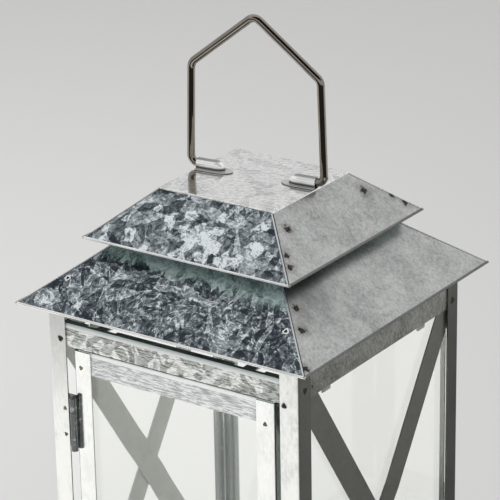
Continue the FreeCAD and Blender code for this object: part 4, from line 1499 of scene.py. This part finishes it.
@dataclass
class Door:
    """Hinged door with its hinges, latch and knob."""

    marks: WeldMarks
    stile_split: Band = (0.4, 0.8)
    bend_drop: float = 2.2

    def build(self) -> None:
        """Dress the door and its fittings."""
        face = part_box("door_stile_hinge")[0].y / MM
        # Stiles: painted light on the front flange, painted shade on the side flange
        stiles = AngleZinc(
            "stile_zinc",
            split_at=face + self.stile_split[0],
            split_soft=self.stile_split[1],
            front_tone=(0.93, 0.935, 0.91),
            side_tone=(0.15, 0.17, 0.16),
            rough=(0.10, 0.2),
            metallic=1.0,
            mottle=0.3,
        )
        dress(stiles, "door_stile_hinge", "door_stile_latch")
        # Door rails: painted highlight on the top bend and painted shade on flat tops
        rails = DrawnZinc(
            "door_rail_zinc",
            lengthways=X_AXIS,
            crossways=(0, 0.4, 1),
            pale=(0.90, 0.915, 0.915),
            grey=(0.33, 0.34, 0.35),
            streak=0.8,
            stretch=7.0,
            crest=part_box("door_rail_top")[1].z / MM - self.bend_drop,
        )
        dress(rails, "door_rail_top", "door_rail_bottom")
        pieces = ("frame_leaf", "door_leaf", "pin")
        hinges = (f"hinge_{level}_{piece}" for level in LEVELS for piece in pieces)
        dress(BlackenedSteel("hinge_steel"), *hinges)
        dress(MattZinc("latch_zinc", X_AXIS, Z_AXIS, tone=(0.6, 0.6, 0.59)), "turn_latch", "door_stop")
        dress(BrightWire("fitting_nickel"), "latch_rivet", "latch_washer", "door_knob")
        self.marks.set_upright("door", Side.FRONT, -face * MM, "door", DOOR_WELDS)


@dataclass
class Handle:
    """Wire handle and its lugs."""

    def build(self) -> None:
        """Dress the wire and the lugs."""
        dress(BrightWire("handle_nickel", tone=(0.30, 0.272, 0.236), rough=(0.03, 0.10)), "carry_handle")
        lugs = ("handle_lug_left", "handle_lug_right")
        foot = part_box("top_plate")[1].z / MM
        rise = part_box(lugs[0])[1].z / MM - foot
        # Lugs: painted reflection and shade by height above the plate
        finish = BrightWire("lug_nickel", tone=(0.95, 0.95, 0.94), metallic=0.4, foot_and_rise=(foot, rise))
        dress(finish, *lugs)


@dataclass(frozen=True)
class Lamp:
    """Soft square lamp aimed at the lantern: where it hangs and its width in metres, its power in watts."""

    name: str
    place: Triple
    span: float
    power: float

    def hang(self) -> None:
        """Put the lamp into the scene, unseen by mirror rays."""
        data = bpy.data.lights.new(self.name, "AREA")
        data.shape = "SQUARE"
        data.size = self.span
        data.energy = self.power
        lamp = bpy.data.objects.new(self.name, data)
        spot = Vector(self.place)
        aim = (CAD_LOW + CAD_HIGH) / 2 - spot
        lamp.matrix_world = Matrix.Translation(spot) @ aim.to_track_quat("-Z", "Y").to_matrix().to_4x4()
        lamp.visible_glossy = False
        bpy.context.scene.collection.objects.link(lamp)


LAMPS = (
    Lamp("key", (-1.5, -1.7, 2.9), span=1.8, power=44.0),
    Lamp("fill", (2.2, -1.2, 1.6), span=1.6, power=12.0),
    Lamp("rim", (0.4, 2.2, 2.4), span=1.8, power=26.0),
)


@dataclass(frozen=True)
class Studio:
    """Pale floor, soft light and the camera at the photograph's angle."""

    floor_span: float = 16.0
    floor_rough: float = 0.9
    # Floor tones: a painted pool of light near the lantern that fades with distance, painted shade to the
    # right, and painted reflection colours that only shiny pieces see
    floor_near: Colour = (0.74, 0.74, 0.735)
    floor_far: Colour = (0.585, 0.58, 0.575)
    far_band: Band = (0.35, 1.9)
    floor_right: Colour = (0.50, 0.497, 0.493)
    right_axis: Triple = (0.82, 0.57, 0)
    right_band: Band = (-0.6, 0.7)
    right_fall: float = 0.85
    through_lift: float = 0.5
    sheen_front: Colour = (0.98, 0.98, 0.97)
    sheen_back: Colour = (0.30, 0.30, 0.295)
    back_axis: Triple = (0.6, 0.8, 0)
    back_band: Band = (-0.1, 0.3)
    sheen_far: Colour = (0.85, 0.84, 0.82)
    beyond_band: Band = (0.75, 0.95)
    dark_room: Colour = (0.02, 0.02, 0.02)
    dark_side: Triple = (0.531, -0.765, 0.365)
    dark_floor_band: Band = (0.2, 0.42)
    dark_wall_band: Band = (0.4, 0.6)
    dark_wall_height: Band = (0.40, 0.47)
    wall_low: Colour = (0.66, 0.66, 0.66)
    wall_high: Colour = (0.90, 0.91, 0.92)
    wall_band: Band = (0.2, 0.75)
    sky: Colour = (0.62, 0.62, 0.62)
    azimuth: float = 34.7522
    elevation: float = 21.423
    roll: float = -1.0765
    distance: float = 1.59197
    aim_right: float = -0.00314
    aim_height: float = 0.31409
    focal_pixels: float = 2593.88
    frame_pixels: float = 500.0
    sensor_width: float = 36.0

    def build(self) -> None:
        """Set the whole stage."""
        self.floor()
        self.world()
        for lamp in LAMPS:
            lamp.hang()
        self.camera()
        bpy.context.scene.view_settings.view_transform = "Standard"

    def floor(self) -> None:
        """Lay the floor: a painted pool of light round the lantern, painted shade to the right, painted
        light where it is seen through glass, and a painted reflection colour that only shiny pieces pick up.
        """
        start_modelling()
        bpy.ops.mesh.primitive_plane_add(size=self.floor_span)
        piece = bpy.context.object
        piece.name = "studio_floor"
        material, graph = new_graph("floor_paper")
        away = graph.distance((0, 0, 0)) * MM
        axes = (self.right_axis, self.back_axis, self.dark_side)
        rightward, backward, darkward = (graph.along(axis) * MM for axis in axes)
        # Painted pool of light round the lantern, and painted shade towards the right
        colour = graph.mix(away.above(*self.far_band), self.floor_near, self.floor_far)
        colour = graph.mix(rightward.above(*self.right_band) * self.right_fall, colour, self.floor_right)
        # Painted reflection: what shiny pieces see of the floor, bright in front, dark behind and far off on
        # the camera side
        sheen = graph.mix(backward.above(*self.back_band), self.sheen_front, self.sheen_back)
        dark = darkward.math("DIVIDE", away).above(*self.dark_floor_band)
        far = graph.mix(dark, self.sheen_far, self.dark_room)
        sheen = graph.mix(away.above(*self.beyond_band), sheen, far)
        # Painted light: the floor seen through glass is lifted towards white
        through = graph.add("ShaderNodeLightPath")["Is Transmission Ray"]
        colour = graph.mix(through * self.through_lift, colour, (1.0, 1.0, 1.0))
        colour = graph.mix(self.mirrored(graph), colour, sheen)
        graph.finish(graph.principled({"Base Color": colour, "Roughness": self.floor_rough}))
        piece.data.materials.append(material)

    @staticmethod
    def mirrored(graph: Graph) -> Signal:
        """Whether a ray comes from a shiny piece's reflection, not through glass."""
        path = graph.add("ShaderNodeLightPath")
        return path["Is Glossy Ray"] * (1.0 - path["Is Transmission Ray"])

    def world(self) -> None:
        """Light the stage from all round; what is seen is a pale room, mirrored dark high up on one side."""
        world = bpy.data.worlds.new("studio")
        world.use_nodes = True
        bpy.context.scene.world = world
        graph = Graph(world.node_tree)
        direction = graph.add("ShaderNodeTexCoord")["Generated"]
        height = graph.split(direction)[2]
        seen = graph.mix(height.above(*self.wall_band), self.wall_low, self.wall_high)
        dark = graph.measure("DOT_PRODUCT", direction, self.dark_side).above(*self.dark_wall_band)
        dark = dark * height.above(*self.dark_wall_height) * self.mirrored(graph)
        seen = graph.mix(dark, seen, self.dark_room)
        path = graph.add("ShaderNodeLightPath")
        shown = path["Is Camera Ray"].math("MAXIMUM", path["Is Glossy Ray"])
        shown = shown.math("MAXIMUM", path["Is Transmission Ray"])
        colour = graph.mix(shown, self.sky, seen)
        background = graph.add("ShaderNodeBackground", sockets={"Color": colour, "Strength": 1.0})
        graph.add("ShaderNodeOutputWorld", sockets={"Surface": background["Background"]})

    def camera(self) -> None:
        """Set the camera where the photograph was taken from."""
        turn, tilt, roll = (math.radians(angle) for angle in (self.azimuth, self.elevation, self.roll))
        level = Vector((math.cos(turn), math.sin(turn), 0))
        back = Vector((math.sin(turn) * math.cos(tilt), -math.cos(turn) * math.cos(tilt), math.sin(tilt)))
        upright = level.cross(-back)
        right = level * math.cos(roll) + upright * math.sin(roll)
        upward = upright * math.cos(roll) - level * math.sin(roll)
        spot = level * self.aim_right + Vector((0, 0, self.aim_height)) + back * self.distance
        data = bpy.data.cameras.new("photo_camera")
        data.sensor_width = self.sensor_width
        data.lens = self.focal_pixels * self.sensor_width / self.frame_pixels
        camera = bpy.data.objects.new("photo_camera", data)
        rotation = Matrix((right, upward, back)).transposed().to_4x4()
        camera.matrix_world = Matrix.Translation(spot) @ rotation
        bpy.context.scene.collection.objects.link(camera)
        bpy.context.scene.camera = camera


def main() -> None:
    """Build the lantern's looks in order, then the stage."""
    logging.basicConfig(level=logging.INFO)
    marks = WeldMarks()
    Roof(marks).build()
    Body(marks).build()
    Door(marks).build()
    Handle().build()
    Studio().build()


if __name__ == "__main__":
    main()
